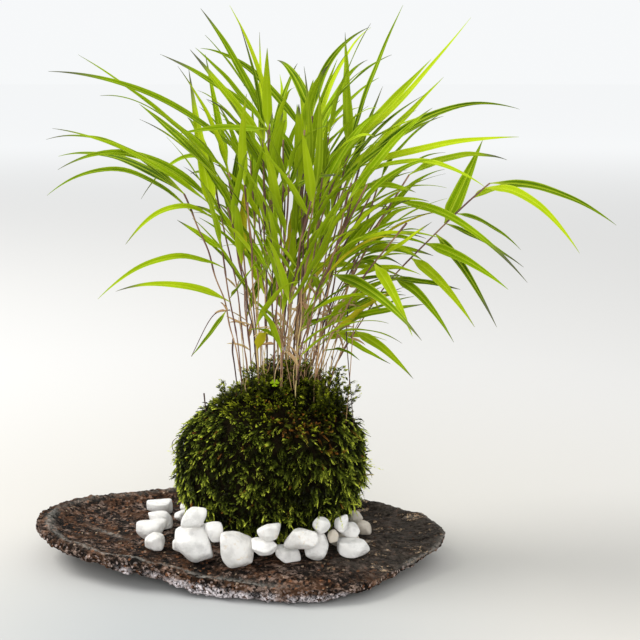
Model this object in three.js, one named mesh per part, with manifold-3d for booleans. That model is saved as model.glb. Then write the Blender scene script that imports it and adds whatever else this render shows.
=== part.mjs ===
// Kokedama: a clump of forest grass rooted in a ball of soil wrapped in moss, on a stone tray
// with a ring of white pebbles. Millimetres, +Z up, the front towards -Y. The origin is the
// point of the tray's flat foot under the middle of the ball.

import * as THREE from 'three';
import { mergeVertices } from 'three/addons/utils/BufferGeometryUtils.js';
import Module from 'manifold-3d';

const wasm = await Module();
wasm.setup();

// Gap kept between pieces that rest on each other
const SEAT_GAP = 0.3;
// Seeds of the random draws of each kind of piece
const SEEDS = {
  tray: 7, moss: 21, pebble: 101, outerLeaf: 300, stem: 900, blade: 4000, fillLeaf: 5000,
};
const MERGE_DISTANCE = 1e-5;
const LEAST_AREA = 1e-6;

// Stone tray
const TRAY_CENTRE = new THREE.Vector3(-20, 0, 0);
const TRAY_FLOOR = 18;
const TRAY_SECTORS = 40;
const TRAY_ROUGHNESS = 1.3;
const TRAY_ROUGHNESS_UPRIGHT = 0.6;
const RIM_ROUGHNESS = 1.04;
const RIM_SHARE = 0.8;
// Outline of the slab, anticlockwise from the right end: x, y, upper edge z, lower edge z
const TRAY_EDGE = [
  [127, -8, 22, 15], [122, 8, 23, 14], [106, 28, 24, 12], [70, 56, 24, 10], [30, 80, 25, 9],
  [-20, 91, 25, 9], [-75, 83, 25, 10], [-119, 68, 25, 12], [-146, 54, 26, 14], [-162, 36, 27, 16],
  [-168, 12, 28, 18], [-167, -10, 28, 19], [-155, -32, 27, 18], [-119, -58, 24, 15],
  [-81, -70, 21, 9], [-48, -80, 16, 4], [-16, -88, 13, 2], [24, -95, 12, 2], [50, -91, 12, 3],
  [74, -77, 12, 6], [94, -56, 13, 9], [104, -44, 14, 11], [120, -30, 18, 14],
];
// Rings of the upper face from the middle out: share of the radius, share of the rise to the edge
const TRAY_DISH = [[0.3, 0], [0.55, 0], [0.72, 0.02], [0.86, 0.35], [0.95, 1.08], [1, 1]];
// Rings of the edge and the underside: share of the radius, share of the way down to the foot
const TRAY_SIDE = [[1, 0.5], [0.972, 1]];
const TRAY_UNDERSIDE = [[0.76, 0.42], [0.46, 0]];

// Moss ball
const BALL_HALF = new THREE.Vector3(70, 67, 50);
const BALL_MIDDLE = 69;
const BALL_SQUARENESS = 2.6;
// Lumps of the skin: size as a share of the radius, waves round the ball, phase, twist with height
const BALL_LUMPS = [[0.018, 3, 1, 0], [0.012, 7, 0, 5]];
const MOUND_HEIGHT = 19;
const MOUND_SPREAD = 36;
const MOUND_BLEND = 1.6;
const GROUND_BLOCK = { low: -60, radius: 120, sides: 8 };
const CLUMP_X = 13;
const MOSS_THICKNESS = 9;
const MOSS_DETAIL = 4;
const SOIL_DETAIL = 2;
const MOSS_TIP = [2.4, 4.8];
const MOSS_TIP_AMONG_STEMS = 0.25;
const MOSS_DROOP = 0.55;
const CAP_X = 9;
const CAP_RADIUS = 46;
const CAP_SIDES = 16;
const CAP_WAVE = 2.5;
const CAP_WAVES = 5;
const CAP_COLUMN_HEIGHT = 120;

// Moss shoots on the cap beside the stems: x, y, height, lean outward
const MOSS_SHOOTS = [
  [49, -15, 27, 3], [45, -22, 33, 2], [51, -8, 15, 4], [40, -27, 20, 1],
  [51, 2, 11, 4], [34, -31, 10, 2], [-27, -8, 9, -2], [-23, -17, 8, -2],
];
const SHOOT_RADIUS = 2.4;
const SHOOT_ROOT = 3;
const SHOOT_SIDES = 3;

// Grass roots and stems
const TUFTS = 26;
const CLUMP_HALF = [33, 26];
const HOLE_RADIUS = 2.4;
const HOLE_SIDES = 4;
const HOLE_HEADROOM = 30;
const CLUMP_MARGIN = 7;
const ROOT_DEPTH = 26;
const STEM_CLEAR_OF_MOSS = 1.5;
const STEM_RADIUS = [1.1, 0.9];
const STEM_SIDES = 3;
// Share of the way out and up at which a stem bends over
const STEM_KNEE = [0.26, 0.5];
const STEM_ROOT_SHARE = 0.3;
const STEM_JITTER_ACROSS = 0.6;
const STEM_STATIONS = [0, 0.3, 0.65, 1];
const BRANCH_SHARE = 0.05;
// The two stems of a tuft, upright and leaning: spread in x and y, height, fall to the sides
const UPRIGHT_STEM = { middle: 19, spread: [66, 60], height: 312, fall: 42, jitter: 12 };
const LEANING_STEM = { middle: 38, spread: [92, 84], height: 280, fall: 26, jitter: 14 };
const REACHING_STEM_TOP = new THREE.Vector3(156, 10, 271);
const STEM_DRAWS = 14;

// Grass leaves
const LEAF_STATIONS = [0, 0.12, 0.32, 0.56, 0.8, 1];
const LEAF_KEEL = 0.9;
const LEAF_NECK = 0.11;
const LEAF_NECK_KEEL = 0.7;
const LEAF_TAPER = 2.6;
const LEAF_SWELL = 0.22;
const LEAF_KEEL_FALL = 0.35;
const ROLL_AT_ROOT = 0.55;
const LEAF_CLEARANCE = 1.6;
const LEAF_TEST_STEP = 3;
const JOINT_REACH = 9;
const LEAF_TURN = [0.45, 1.15];
// Places and stems tried for a leaf's root, and the weight of depth in choosing them
const PLACE_STEPS = 40;
const LOWEST_PLACE = 8;
const STEMS_TRIED = 5;
const DEPTH_WEIGHT = 0.4;
const DEPTH_SHIFTS = [0, 7, -7, 14, -14, 21, -21, 28, -28];
const SPREAD_LOW = new THREE.Vector3(-166, -128, 146);
const SPREAD_HIGH = new THREE.Vector3(247, 128, 394);

// Leaves that give the clump its outline: root, tip, lift of the arch, width
const OUTER_LEAVES = [
  [[9, 5, 310], [-46, 25, 391], 13, 7], [[-3, -10, 320], [-40, -5, 372], 9, 7],
  [[-7, -18, 325], [-44, -40, 363], 7, 7], [[-14, -12, 314], [-53, 15, 363], 2, 8],
  [[-21, 0, 322], [-76, 35, 360], 8, 7], [[30, 10, 299], [-47, 30, 364], 30, 8],
  [[37, 15, 319], [6, 55, 356], 17, 8], [[-26, -10, 301], [-124, -20, 359], 10, 8],
  [[-24, -18, 298], [-135, -65, 348], 30, 8], [[-22, -25, 261], [-101, -75, 333], 39, 8],
  [[-43, 5, 315], [-94, 50, 325], 3, 7], [[-24, -20, 262], [-70, -95, 320], 14, 7],
  [[-37, -15, 258], [-140, -35, 311], 19, 9], [[-49, 0, 271], [-156, 20, 301], 32, 8],
  [[-54, 10, 284], [-158, 70, 286], 24, 8], [[-41, -15, 251], [-145, -5, 281], 48, 8],
  [[-43, -22, 254], [-140, -60, 269], 46, 8], [[-1, -35, 316], [-53, -75, 309], 6, 8],
  [[-42, -5, 250], [-55, 10, 350], -10, 10], [[-40, -15, 248], [-90, -60, 237], 33, 8],
  [[-31, -10, 215], [-107, -45, 203], 34, 7], [[-25, -12, 190], [-103, -25, 200], 18, 8],
  [[-35, -10, 227], [-62, -20, 247], 1, 5], [[-37, 5, 291], [-93, 40, 257], 39, 5],
  [[-6, -20, 282], [-35, -60, 330], 8, 8], [[-2, -20, 282], [-24, -35, 330], 5, 8],
  [[27, 0, 274], [4, -35, 316], 11, 9], [[-1, -30, 257], [52, -70, 280], 15, 8],
  [[36, -15, 278], [42, -25, 321], -1, 10], [[22, -25, 246], [43, -65, 276], 4, 8],
  [[17, -25, 194], [58, -85, 292], -17, 12], [[7, -22, 187], [26, -60, 250], 4, 10],
  [[-20, -15, 195], [-2, -60, 229], 2, 7], [[-19, -15, 234], [3, -60, 215], 4, 6],
  [[19, -20, 178], [45, -60, 215], 0, 6], [[56, 0, 271], [99, -60, 271], 8, 8],
  [[59, 5, 301], [54, -5, 374], 3, 10], [[32, 5, 312], [85, -15, 359], 14, 8],
  [[65, 5, 308], [142, 25, 385], -8, 8], [[85, 20, 326], [119, 45, 357], 2, 9],
  [[87, 20, 327], [127, 60, 344], 2, 7], [[87, 20, 332], [146, 75, 324], 17, 7],
  [[75, 10, 302], [177, 20, 322], 37, 8], [[79, 5, 303], [103, -40, 319], 3, 8],
  [[58, 0, 286], [170, -20, 305], 10, 8], [[93, 15, 290], [175, 60, 284], 17, 8],
  [[119, 25, 249], [156, 55, 299], -2, 12], [[58, -5, 276], [143, -60, 275], 29, 8],
  [[156, 10, 271], [245, 5, 242], 19, 8], [[152, 8, 270], [210, -30, 229], 28, 8],
  [[142, 10, 265], [183, 45, 267], 6, 7], [[131, 15, 250], [185, 45, 219], 11, 8],
  [[101, -5, 251], [178, -30, 207], 27, 8], [[125, 10, 244], [180, 0, 213], 6, 8],
  [[104, -20, 238], [160, -65, 208], 8, 8], [[136, -10, 221], [158, -30, 176], 12, 7],
  [[93, -20, 203], [132, -35, 203], 2, 7], [[107, -20, 211], [138, -70, 184], 11, 8],
  [[100, -25, 199], [129, -55, 165], 15, 8], [[84, -40, 214], [96, -90, 182], 8, 8],
  [[79, -30, 224], [108, -80, 254], 0, 9], [[48, -20, 209], [100, -85, 184], 16, 10],
  [[51, -12, 173], [108, -30, 192], 2, 7], [[57, -15, 170], [99, -60, 147], 8, 8],
  [[52, -10, 163], [86, -20, 148], -1, 5], [[-27, -8, 184], [-52, -20, 154], -2, 4],
];

// Leaves that fill the clump, drawn stem by stem
const NODE_SHARES = [0.3, 0.42, 0.54, 0.66, 0.78, 0.9];
const FILL_DRAWS = 8;
const FILL_LENGTH = [60, 112];
const FILL_WIDTH = [5.2, 8];
const FILL_CLIMB = { low: 190, high: 315, lowest: 0.7, highest: 1.15, jitter: 0.24 };
// How far the leaves sink towards the left and the right end of the clump
const FILL_SINK = { left: 0.1, right: 0.8, reach: 90 };
const FILL_SWING = [0.35, 1.25];
const FILL_TURN = [-0.3, 1];
const FILL_ARCH = [0.14, 0.3];
const BLADE_CROWN = 0.42;
const BLADE_CLIMB = [0.1, 1.2];
const BLADE_SWING = 0.8;
// Room that these leaves keep to: reach at its lowest, growth with height, furthest reach
const ROOM_LOW = 160;
const ROOM_LEFT = [36, 0.4, 84];
const ROOM_RIGHT = [84, 0.4, 122];
const ROOM_DEEP = [54, 0.4, 88];

// Pebbles in the order in which they are laid: x, y, length, width, height, turn
const PEBBLES = [
  [-84, 39, 20, 19, 10, 0.1], [-80, 8, 18, 14, 11, 0.5], [-83, -16, 20, 17, 14, 0.9],
  [-78, -36, 14, 12, 12, 0.2], [-61, -44, 10, 10, 12, 0.3], [-46, -59, 25, 19, 26, 0.2],
  [-65, 20, 16, 13, 10, 0.3], [-18, -67, 23, 15, 25, 0.1], [-33, -61, 11, 10, 15, 0.4],
  [0, -67, 18, 14, 11, 0.2], [15, -57, 18, 13, 11, 0.1], [35, -58, 17, 12, 22, 0.2],
  [46, -54, 8, 7, 8, 0.6], [60, -48, 24, 14, 11, -0.2], [47, -45, 9, 9, 13, 0.5],
  [55, -31, 20, 13, 12, 0.2], [67, -6, 16, 12, 11, 0.2], [-58, -18, 15, 12, 10, 0.8],
  [-36, -46, 18, 12, 13, 0.2], [-54, -36, 13, 11, 10, 0.9], [2, -54, 16, 11, 12, 0],
  [16, -43, 24, 14, 14, -0.2], [30, -48, 13, 11, 11, 0.3], [58, -39, 14, 10, 11, 0.4],
  [63, 13, 13, 11, 10, 0.7], [-58, 42, 19, 15, 12, 0.6], [-24, 63, 21, 16, 14, 0.2],
  [18, 66, 18, 15, 12, 0.9], [52, 44, 20, 15, 13, 0.4],
];
const PEBBLE_ROUNDNESS = 6.5;
const PEBBLE_FACETS = 12;
const PEBBLE_FACET_TILT = 1.15;
const PEBBLE_FACET_REACH = [0.76, 0.95];
const PEBBLE_DETAIL = 1;
const PEBBLE_TEST_DETAIL = 5;
const PEBBLE_NEIGHBOUR = 34;
const PEBBLE_STEP = 0.25;
const PEBBLE_TOP = 58;

// Colours and surface of each kind of piece
function finish(color, roughness) {
  return new THREE.MeshStandardMaterial({ color, roughness, metalness: 0 });
}

// Draws a repeatable run of numbers from a seed.
class Draws {
  constructor(seed) {
    this.state = seed >>> 0;
  }

  next() {
    this.state = (this.state + 0x6d2b79f5) >>> 0;
    let mixed = Math.imul(this.state ^ (this.state >>> 15), this.state | 1);
    mixed = (mixed + Math.imul(mixed ^ (mixed >>> 7), mixed | 61)) ^ mixed;
    return ((mixed ^ (mixed >>> 14)) >>> 0) / 4294967296;
  }

  between(low, high) {
    return low + (high - low) * this.next();
  }
}

function smoothStep(share) {
  const clipped = Math.min(1, Math.max(0, share));
  return clipped * clipped * (3 - 2 * clipped);
}

function solidOf(points, triangles) {
  const vertProperties = new Float32Array(points.flatMap((point) => point.toArray()));
  const triVerts = new Uint32Array(triangles);
  return new wasm.Manifold(new wasm.Mesh({ numProp: 3, vertProperties, triVerts }));
}

function meshOf(name, solid, material) {
  const { vertProperties, triVerts } = solid.getMesh();
  const geometry = new THREE.BufferGeometry();
  geometry.setAttribute('position', new THREE.BufferAttribute(vertProperties, 3));
  geometry.setIndex(new THREE.BufferAttribute(triVerts, 1));
  geometry.computeVertexNormals();
  const mesh = new THREE.Mesh(geometry, material);
  mesh.name = name;
  return mesh;
}

// Unit directions and the triangles between them.
function globe(detail) {
  const geometry = new THREE.IcosahedronGeometry(1, detail);
  geometry.deleteAttribute('normal');
  geometry.deleteAttribute('uv');
  const merged = mergeVertices(geometry, MERGE_DISTANCE);
  const position = merged.getAttribute('position');
  const directions = [];
  for (let i = 0; i < position.count; i += 1) {
    directions.push(new THREE.Vector3().fromBufferAttribute(position, i).normalize());
  }
  return { directions, triangles: Array.from(merged.index.array) };
}

// Skins a row of rings with the same number of points, closed at the start by a flat face
// and at the end by a flat face or, where a tip is given, by a point.
function loft(rings, tip) {
  const sides = rings[0].length;
  const points = rings.flat();
  const triangles = [];
  for (let i = 0; i + 1 < rings.length; i += 1) {
    for (let k = 0; k < sides; k += 1) {
      const here = i * sides + k;
      const beside = i * sides + ((k + 1) % sides);
      triangles.push(here, beside, beside + sides, here, beside + sides, here + sides);
    }
  }
  const last = (rings.length - 1) * sides;
  for (let k = 1; k + 1 < sides; k += 1) {
    triangles.push(0, k + 1, k);
  }
  if (tip) {
    points.push(tip);
    for (let k = 0; k < sides; k += 1) {
      triangles.push(last + k, last + ((k + 1) % sides), points.length - 1);
    }
  } else {
    for (let k = 1; k + 1 < sides; k += 1) {
      triangles.push(last, last + k, last + k + 1);
    }
  }
  return solidOf(points, triangles);
}

// A ring of points round a centre, in the plane of two unit vectors.
function ringAround(centre, across, face, radius, sides) {
  const ring = [];
  for (let k = 0; k < sides; k += 1) {
    const angle = (2 * Math.PI * k) / sides;
    ring.push(centre.clone()
      .addScaledVector(across, radius * Math.cos(angle))
      .addScaledVector(face, radius * Math.sin(angle)));
  }
  return ring;
}

function uprightPrism(x, y, low, high, radius, sides) {
  const across = new THREE.Vector3(1, 0, 0);
  const face = new THREE.Vector3(0, 1, 0);
  const ringAt = (z) => ringAround(new THREE.Vector3(x, y, z), across, face, radius, sides);
  return loft([ringAt(low), ringAt(high)]);
}

// Stone tray

function edgeCurve(column) {
  const points = TRAY_EDGE.map((edge) => new THREE.Vector3(edge[0], edge[1], edge[column]));
  return new THREE.CatmullRomCurve3(points, true, 'centripetal');
}

function roughened(point, draws, amount) {
  return point.add(new THREE.Vector3(
    draws.between(-amount, amount),
    draws.between(-amount, amount),
    draws.between(-amount, amount) * TRAY_ROUGHNESS_UPRIGHT,
  ));
}

function trayRing(share, heightAt, draws, amount) {
  const curve = edgeCurve(2);
  const ring = [];
  for (let k = 0; k < TRAY_SECTORS; k += 1) {
    const edge = curve.getPoint(k / TRAY_SECTORS);
    const point = edge.clone().sub(TRAY_CENTRE).multiplyScalar(share).add(TRAY_CENTRE);
    point.z = heightAt(edge.z, k);
    ring.push(roughened(point, draws, amount));
  }
  return ring;
}

function trayRings() {
  const draws = new Draws(SEEDS.tray);
  const lowerEdge = edgeCurve(3);
  const low = (k) => lowerEdge.getPoint(k / TRAY_SECTORS).z;
  const dish = TRAY_DISH.map(([share, rise]) => trayRing(
    share,
    (high) => TRAY_FLOOR + (high - TRAY_FLOOR) * rise,
    draws,
    share > RIM_SHARE ? RIM_ROUGHNESS : 0,
  ));
  const side = TRAY_SIDE.map(([share, fall]) => trayRing(
    share,
    (high, k) => high + (low(k) - high) * fall,
    draws,
    TRAY_ROUGHNESS,
  ));
  const underside = TRAY_UNDERSIDE.map(([share, rise]) => trayRing(
    share,
    (high, k) => low(k) * rise,
    draws,
    0,
  ));
  return [...dish, ...side, ...underside];
}

// The tray's points and triangles, from the middle of the dish over the edge to the foot.
function trayShell() {
  const rings = trayRings();
  const points = [new THREE.Vector3(TRAY_CENTRE.x, TRAY_CENTRE.y, TRAY_FLOOR), ...rings.flat()];
  const bottom = points.push(TRAY_CENTRE.clone()) - 1;
  const triangles = [];
  for (let k = 0; k < TRAY_SECTORS; k += 1) {
    const next = (k + 1) % TRAY_SECTORS;
    const last = 1 + (rings.length - 1) * TRAY_SECTORS;
    triangles.push(0, 1 + k, 1 + next, bottom, last + next, last + k);
    for (let i = 0; i + 1 < rings.length; i += 1) {
      const inner = 1 + i * TRAY_SECTORS;
      const outer = inner + TRAY_SECTORS;
      triangles.push(inner + k, outer + k, outer + next, inner + k, outer + next, inner + next);
    }
  }
  return { points, triangles };
}

// Height of the highest triangle over a place, or nothing where there is none.
function heightOver(shell, x, y) {
  let highest = -Infinity;
  const corner = (i) => shell.points[shell.triangles[i]];
  for (let i = 0; i < shell.triangles.length; i += 3) {
    const [a, b, c] = [corner(i), corner(i + 1), corner(i + 2)];
    const area = (b.x - a.x) * (c.y - a.y) - (c.x - a.x) * (b.y - a.y);
    if (area > LEAST_AREA) {
      const u = ((x - a.x) * (c.y - a.y) - (c.x - a.x) * (y - a.y)) / area;
      const v = ((b.x - a.x) * (y - a.y) - (x - a.x) * (b.y - a.y)) / area;
      if (u >= 0 && v >= 0 && u + v <= 1) {
        highest = Math.max(highest, a.z + u * (b.z - a.z) + v * (c.z - a.z));
      }
    }
  }
  return highest;
}

// Moss ball

function moundLift(x, y) {
  const away = (x - CLUMP_X) ** 2 + y ** 2;
  return MOUND_HEIGHT * Math.exp(-away / MOUND_SPREAD ** 2);
}

// The point of the ball's skin in a direction from its middle, a given depth under the surface.
function ballPoint(direction, depth) {
  const across = Math.hypot(
    direction.x / (BALL_HALF.x - depth),
    direction.y / (BALL_HALF.y - depth),
  );
  const up = Math.abs(direction.z) / (BALL_HALF.z - depth);
  const reach = (across ** BALL_SQUARENESS + up ** BALL_SQUARENESS) ** (-1 / BALL_SQUARENESS);
  const turn = Math.atan2(direction.y, direction.x);
  const lump = BALL_LUMPS.reduce(
    (sum, [size, waves, phase, twist]) => sum + size * Math.sin(waves * turn + phase + twist * direction.z),
    1,
  );
  const point = direction.clone().multiplyScalar(reach * lump);
  const rise = smoothStep(direction.z * MOUND_BLEND);
  point.z += BALL_MIDDLE + moundLift(point.x, point.y) * rise;
  return point;
}

function ballSolid(detail, depth) {
  const { directions, triangles } = globe(detail);
  return solidOf(directions.map((direction) => ballPoint(direction, depth)), triangles);
}

function isAmongStems(point) {
  const across = (point.x - CLUMP_X) / (CLUMP_HALF[0] + CLUMP_MARGIN);
  const deep = point.y / (CLUMP_HALF[1] + CLUMP_MARGIN);
  return point.z > BALL_MIDDLE && across ** 2 + deep ** 2 < 1;
}

// The three faces that rise from a facet's corners to its tip.
function tippedFacet([a, b, c], tip) {
  return [a, b, tip, b, c, tip, c, a, tip];
}

// The moss skin: every facet of the ball is raised to a tip that droops down the sides.
function mossShell() {
  const draws = new Draws(SEEDS.moss);
  const { directions, triangles } = globe(MOSS_DETAIL);
  const points = directions.map((direction) => ballPoint(direction, 0));
  const tips = [];
  const faces = [];
  for (let i = 0; i < triangles.length; i += 3) {
    const [a, b, c] = [points[triangles[i]], points[triangles[i + 1]], points[triangles[i + 2]]];
    const normal = new THREE.Triangle(a, b, c).getNormal(new THREE.Vector3());
    const tip = new THREE.Triangle(a, b, c).getMidpoint(new THREE.Vector3());
    const share = isAmongStems(tip) ? MOSS_TIP_AMONG_STEMS : 1;
    const height = share * draws.between(...MOSS_TIP);
    tip.addScaledVector(normal, height);
    tip.z -= height * MOSS_DROOP * (1 - Math.abs(normal.z));
    tips.push(tip);
    faces.push(...tippedFacet(triangles.slice(i, i + 3), points.length + tips.length - 1));
  }
  return { points: [...points, ...tips], triangles: faces };
}

function capOutline(clear) {
  const ring = [];
  for (let k = 0; k < CAP_SIDES; k += 1) {
    const angle = (2 * Math.PI * k) / CAP_SIDES;
    const radius = CAP_RADIUS - clear + CAP_WAVE * Math.sin(CAP_WAVES * angle);
    ring.push(new THREE.Vector2(CAP_X + radius * Math.cos(angle), radius * Math.sin(angle)));
  }
  return ring;
}

function capColumn(clear) {
  const ring = capOutline(clear);
  const rings = [BALL_MIDDLE, BALL_MIDDLE + CAP_COLUMN_HEIGHT].map(
    (z) => ring.map((point) => new THREE.Vector3(point.x, point.y, z)),
  );
  return loft(rings);
}

// What the tray takes from the ball, so that the ball stands flat on it.
function groundBlock() {
  const { low, radius, sides } = GROUND_BLOCK;
  return uprightPrism(0, 0, low, TRAY_FLOOR + SEAT_GAP, radius, sides);
}

// The foot and the tip of a moss shoot.
function shootFrames([x, y, height, lean]) {
  const across = new THREE.Vector3(1, 0, 0);
  return [
    { point: new THREE.Vector3(x, y, skinHeight(x, y) - SHOOT_ROOT), across, half: SHOOT_RADIUS },
    { point: new THREE.Vector3(x + lean, y, skinHeight(x, y) + height), across, half: 0 },
  ];
}

function shootSolid(shoot) {
  const [foot, tip] = shootFrames(shoot);
  const face = new THREE.Vector3(0, 1, 0);
  return loft([ringAround(foot.point, foot.across, face, foot.half, SHOOT_SIDES)], tip.point);
}

// Height of the ball's skin over a place on its top.
function skinHeight(x, y) {
  const across = Math.hypot(x / BALL_HALF.x, y / BALL_HALF.y);
  const up = (1 - across ** BALL_SQUARENESS) ** (1 / BALL_SQUARENESS);
  return BALL_MIDDLE + up * BALL_HALF.z + moundLift(x, y);
}

// Pebbles

// A tumbled stone: the smooth inside of a few planes set about its middle.
function pebbleBody([, , length, width, height, turn], seed) {
  const draws = new Draws(seed);
  const half = new THREE.Vector3(length / 2, width / 2, height / 2);
  const planes = [[1, 0, 0], [-1, 0, 0], [0, 1, 0], [0, -1, 0], [0, 0, 1], [0, 0, -1]].map(
    (axis) => new THREE.Vector3(...axis),
  );
  for (let i = 0; i < PEBBLE_FACETS; i += 1) {
    const tilt = draws.between(-PEBBLE_FACET_TILT, PEBBLE_FACET_TILT);
    const swing = draws.between(0, 2 * Math.PI);
    const level = Math.cos(tilt);
    planes.push(new THREE.Vector3(level * Math.cos(swing), level * Math.sin(swing), Math.sin(tilt)));
  }
  const reach = planes.map((plane, i) => {
    const cut = i < 6 ? 1 : draws.between(...PEBBLE_FACET_REACH);
    return cut * plane.clone().multiply(half).length();
  });
  const { directions, triangles } = globe(PEBBLE_DETAIL);
  const points = directions.map((direction) => {
    const shares = planes.map((plane, i) => Math.max(0, direction.dot(plane) / reach[i]));
    const sum = shares.reduce((total, share) => total + share ** PEBBLE_ROUNDNESS, 0);
    return direction.clone().multiplyScalar(sum ** (-1 / PEBBLE_ROUNDNESS));
  });
  const size = new THREE.Box3().setFromPoints(points).getSize(new THREE.Vector3());
  const fit = new THREE.Vector3(length / size.x, width / size.y, height / size.z);
  const upright = new THREE.Vector3(0, 0, 1);
  points.forEach((point) => point.multiply(fit).applyAxisAngle(upright, turn));
  return { points, triangles };
}

// Furthest reach of a cloud of points along each test direction.
function reaches(points, directions) {
  return directions.map((direction) => Math.max(...points.map((point) => point.dot(direction))));
}

// Least distance, at most, between two convex bodies given by their reaches.
function separation(a, b, directions, opposite) {
  let widest = -Infinity;
  directions.forEach((direction, i) => {
    const near = b.place.dot(direction) - b.reach[opposite[i]];
    const far = a.place.dot(direction) + a.reach[i];
    widest = Math.max(widest, near - far);
  });
  return widest;
}

function oppositeIndex(directions) {
  return directions.map((direction) => {
    const scores = directions.map((other) => other.dot(direction));
    return scores.indexOf(Math.min(...scores));
  });
}

// Lowers one pebble on the tray and on the pebbles laid before it.
function rest(pebble, x, y, tray, laid, directions, opposite) {
  const floor = Math.max(...pebble.points.map(
    (point) => heightOver(tray, x + point.x, y + point.y) - point.z,
  )) + SEAT_GAP;
  const place = new THREE.Vector3(x, y, PEBBLE_TOP);
  const tried = { place, reach: pebble.reach };
  const near = laid.filter(
    (other) => Math.hypot(other.place.x - x, other.place.y - y) < PEBBLE_NEIGHBOUR,
  );
  while (place.z - PEBBLE_STEP > floor) {
    place.z -= PEBBLE_STEP;
    if (near.some((other) => separation(tried, other, directions, opposite) < SEAT_GAP)) {
      place.z += PEBBLE_STEP;
      return place;
    }
  }
  place.z = floor;
  return place;
}

// Lays the pebbles one by one, each moved outward until it is clear of the ball.
function layPebbles(tray, moss) {
  const { directions } = globe(PEBBLE_TEST_DETAIL);
  const opposite = oppositeIndex(directions);
  const ball = { place: new THREE.Vector3(), reach: reaches(moss.points, directions) };
  const laid = [];
  PEBBLES.forEach((spec, index) => {
    const body = pebbleBody(spec, SEEDS.pebble + index);
    body.reach = reaches(body.points, directions);
    let [x, y] = spec;
    body.place = rest(body, x, y, tray, laid, directions, opposite);
    while (separation(body, ball, directions, opposite) < SEAT_GAP) {
      const away = Math.hypot(x, y);
      x += x / away;
      y += y / away;
      body.place = rest(body, x, y, tray, laid, directions, opposite);
    }
    laid.push(body);
  });
  return laid;
}

// Grass

// Keeps the boxes round the stems and leaves that stand, and tests new ones against them.
class Thicket {
  constructor() {
    this.boxes = [];
  }

  // Adds a box round each stretch between two frames of a limb.
  add(frames, owner) {
    for (let i = 0; i + 1 < frames.length; i += 1) {
      const [from, to] = [frames[i], frames[i + 1]];
      const along = to.point.clone().sub(from.point);
      const length = along.length();
      along.divideScalar(length);
      const across = from.across.clone().add(to.across);
      across.addScaledVector(along, -across.dot(along)).normalize();
      const face = new THREE.Vector3().crossVectors(along, across);
      const half = Math.max(from.half, to.half);
      this.boxes.push({ start: from.point, along, across, face, length, half, ...owner });
    }
  }

  // Whether every sample stays out of every box; those near the root may meet their own tuft.
  isClear(samples, owner) {
    return samples.every(({ point, nearRoot }) => !this.boxes.some((box) => {
      if (box.stem === owner.stem || (nearRoot && box.tuft === owner.tuft)) {
        return false;
      }
      const offset = point.clone().sub(box.start);
      const along = offset.dot(box.along);
      return along > -LEAF_CLEARANCE && along < box.length + LEAF_CLEARANCE
        && Math.abs(offset.dot(box.across)) < box.half + LEAF_CLEARANCE
        && Math.abs(offset.dot(box.face)) < LEAF_KEEL + LEAF_CLEARANCE;
    }));
  }
}

// A frame of a limb: its point, the directions across and out of its face, and its half width.
function limbFrame(curve, side, t, roll, half) {
  const point = curve.getPoint(t);
  const along = curve.getTangent(t);
  const level = side.clone().addScaledVector(along, -side.dot(along)).normalize();
  const up = new THREE.Vector3().crossVectors(along, level);
  const across = level.clone().multiplyScalar(Math.cos(roll)).addScaledVector(up, Math.sin(roll));
  const face = new THREE.Vector3().crossVectors(along, across);
  return { point, across, face, half };
}

function leafShare(t) {
  return (LEAF_NECK + (1 - LEAF_NECK) * smoothStep(t / LEAF_SWELL)) * (1 - t ** LEAF_TAPER);
}

function leafKeel(t) {
  return t === 0 ? LEAF_NECK_KEEL : LEAF_KEEL * (1 - LEAF_KEEL_FALL * t);
}

function bentLeaf(root, crown, tip, width, turn) {
  const heading = Math.atan2(tip.y - root.y, tip.x - root.x);
  const curve = new THREE.QuadraticBezierCurve3(root, crown, tip);
  const side = new THREE.Vector3(-Math.sin(heading), Math.cos(heading), 0);
  const roll = turn * Math.sign(Math.cos(heading));
  return { curve, side, roll, width, length: root.distanceTo(crown) + crown.distanceTo(tip) };
}

function archedLeaf(root, tip, lift, width, turn) {
  const crown = root.clone().add(tip).multiplyScalar(0.5);
  crown.z += lift;
  return bentLeaf(root, crown, tip, width, turn);
}

function leafFrame(leaf, t) {
  const roll = leaf.roll * THREE.MathUtils.lerp(ROLL_AT_ROOT, 1, t);
  return limbFrame(leaf.curve, leaf.side, t, roll, (leaf.width / 2) * leafShare(t));
}

function leafSamples(leaf) {
  const steps = Math.ceil(leaf.length / LEAF_TEST_STEP);
  const samples = [];
  for (let i = 1; i <= steps; i += 1) {
    const { point, across, half } = leafFrame(leaf, i / steps);
    const nearRoot = (i / steps) * leaf.length < JOINT_REACH;
    [-half, 0, half].forEach((offset) => {
      samples.push({ point: point.clone().addScaledVector(across, offset), nearRoot });
    });
  }
  return samples;
}

function staysInSpread(samples) {
  const box = new THREE.Box3(SPREAD_LOW, SPREAD_HIGH);
  return samples.every(({ point }) => box.containsPoint(point));
}

// Whether a leaf keeps to the part of the clump that the filling leaves may take.
function staysInRoom(samples) {
  return samples.every(({ point }) => {
    const rise = Math.max(0, point.z - ROOM_LOW);
    const reach = ([base, growth, most]) => Math.min(most, base + growth * rise);
    const offset = point.x - CLUMP_X;
    const across = offset / reach(offset < 0 ? ROOM_LEFT : ROOM_RIGHT);
    return Math.hypot(across, point.y / reach(ROOM_DEEP)) < 1;
  });
}

function leafRings(leaf) {
  return LEAF_STATIONS.slice(0, -1).map((t) => {
    const { point, across, face, half } = leafFrame(leaf, t);
    return [
      point.clone().addScaledVector(across, half),
      point.clone().addScaledVector(across, -half),
      point.clone().addScaledVector(face, -leafKeel(t)),
    ];
  });
}

function leafSolid(leaf) {
  return loft(leafRings(leaf), leaf.curve.getPoint(1));
}

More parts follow.
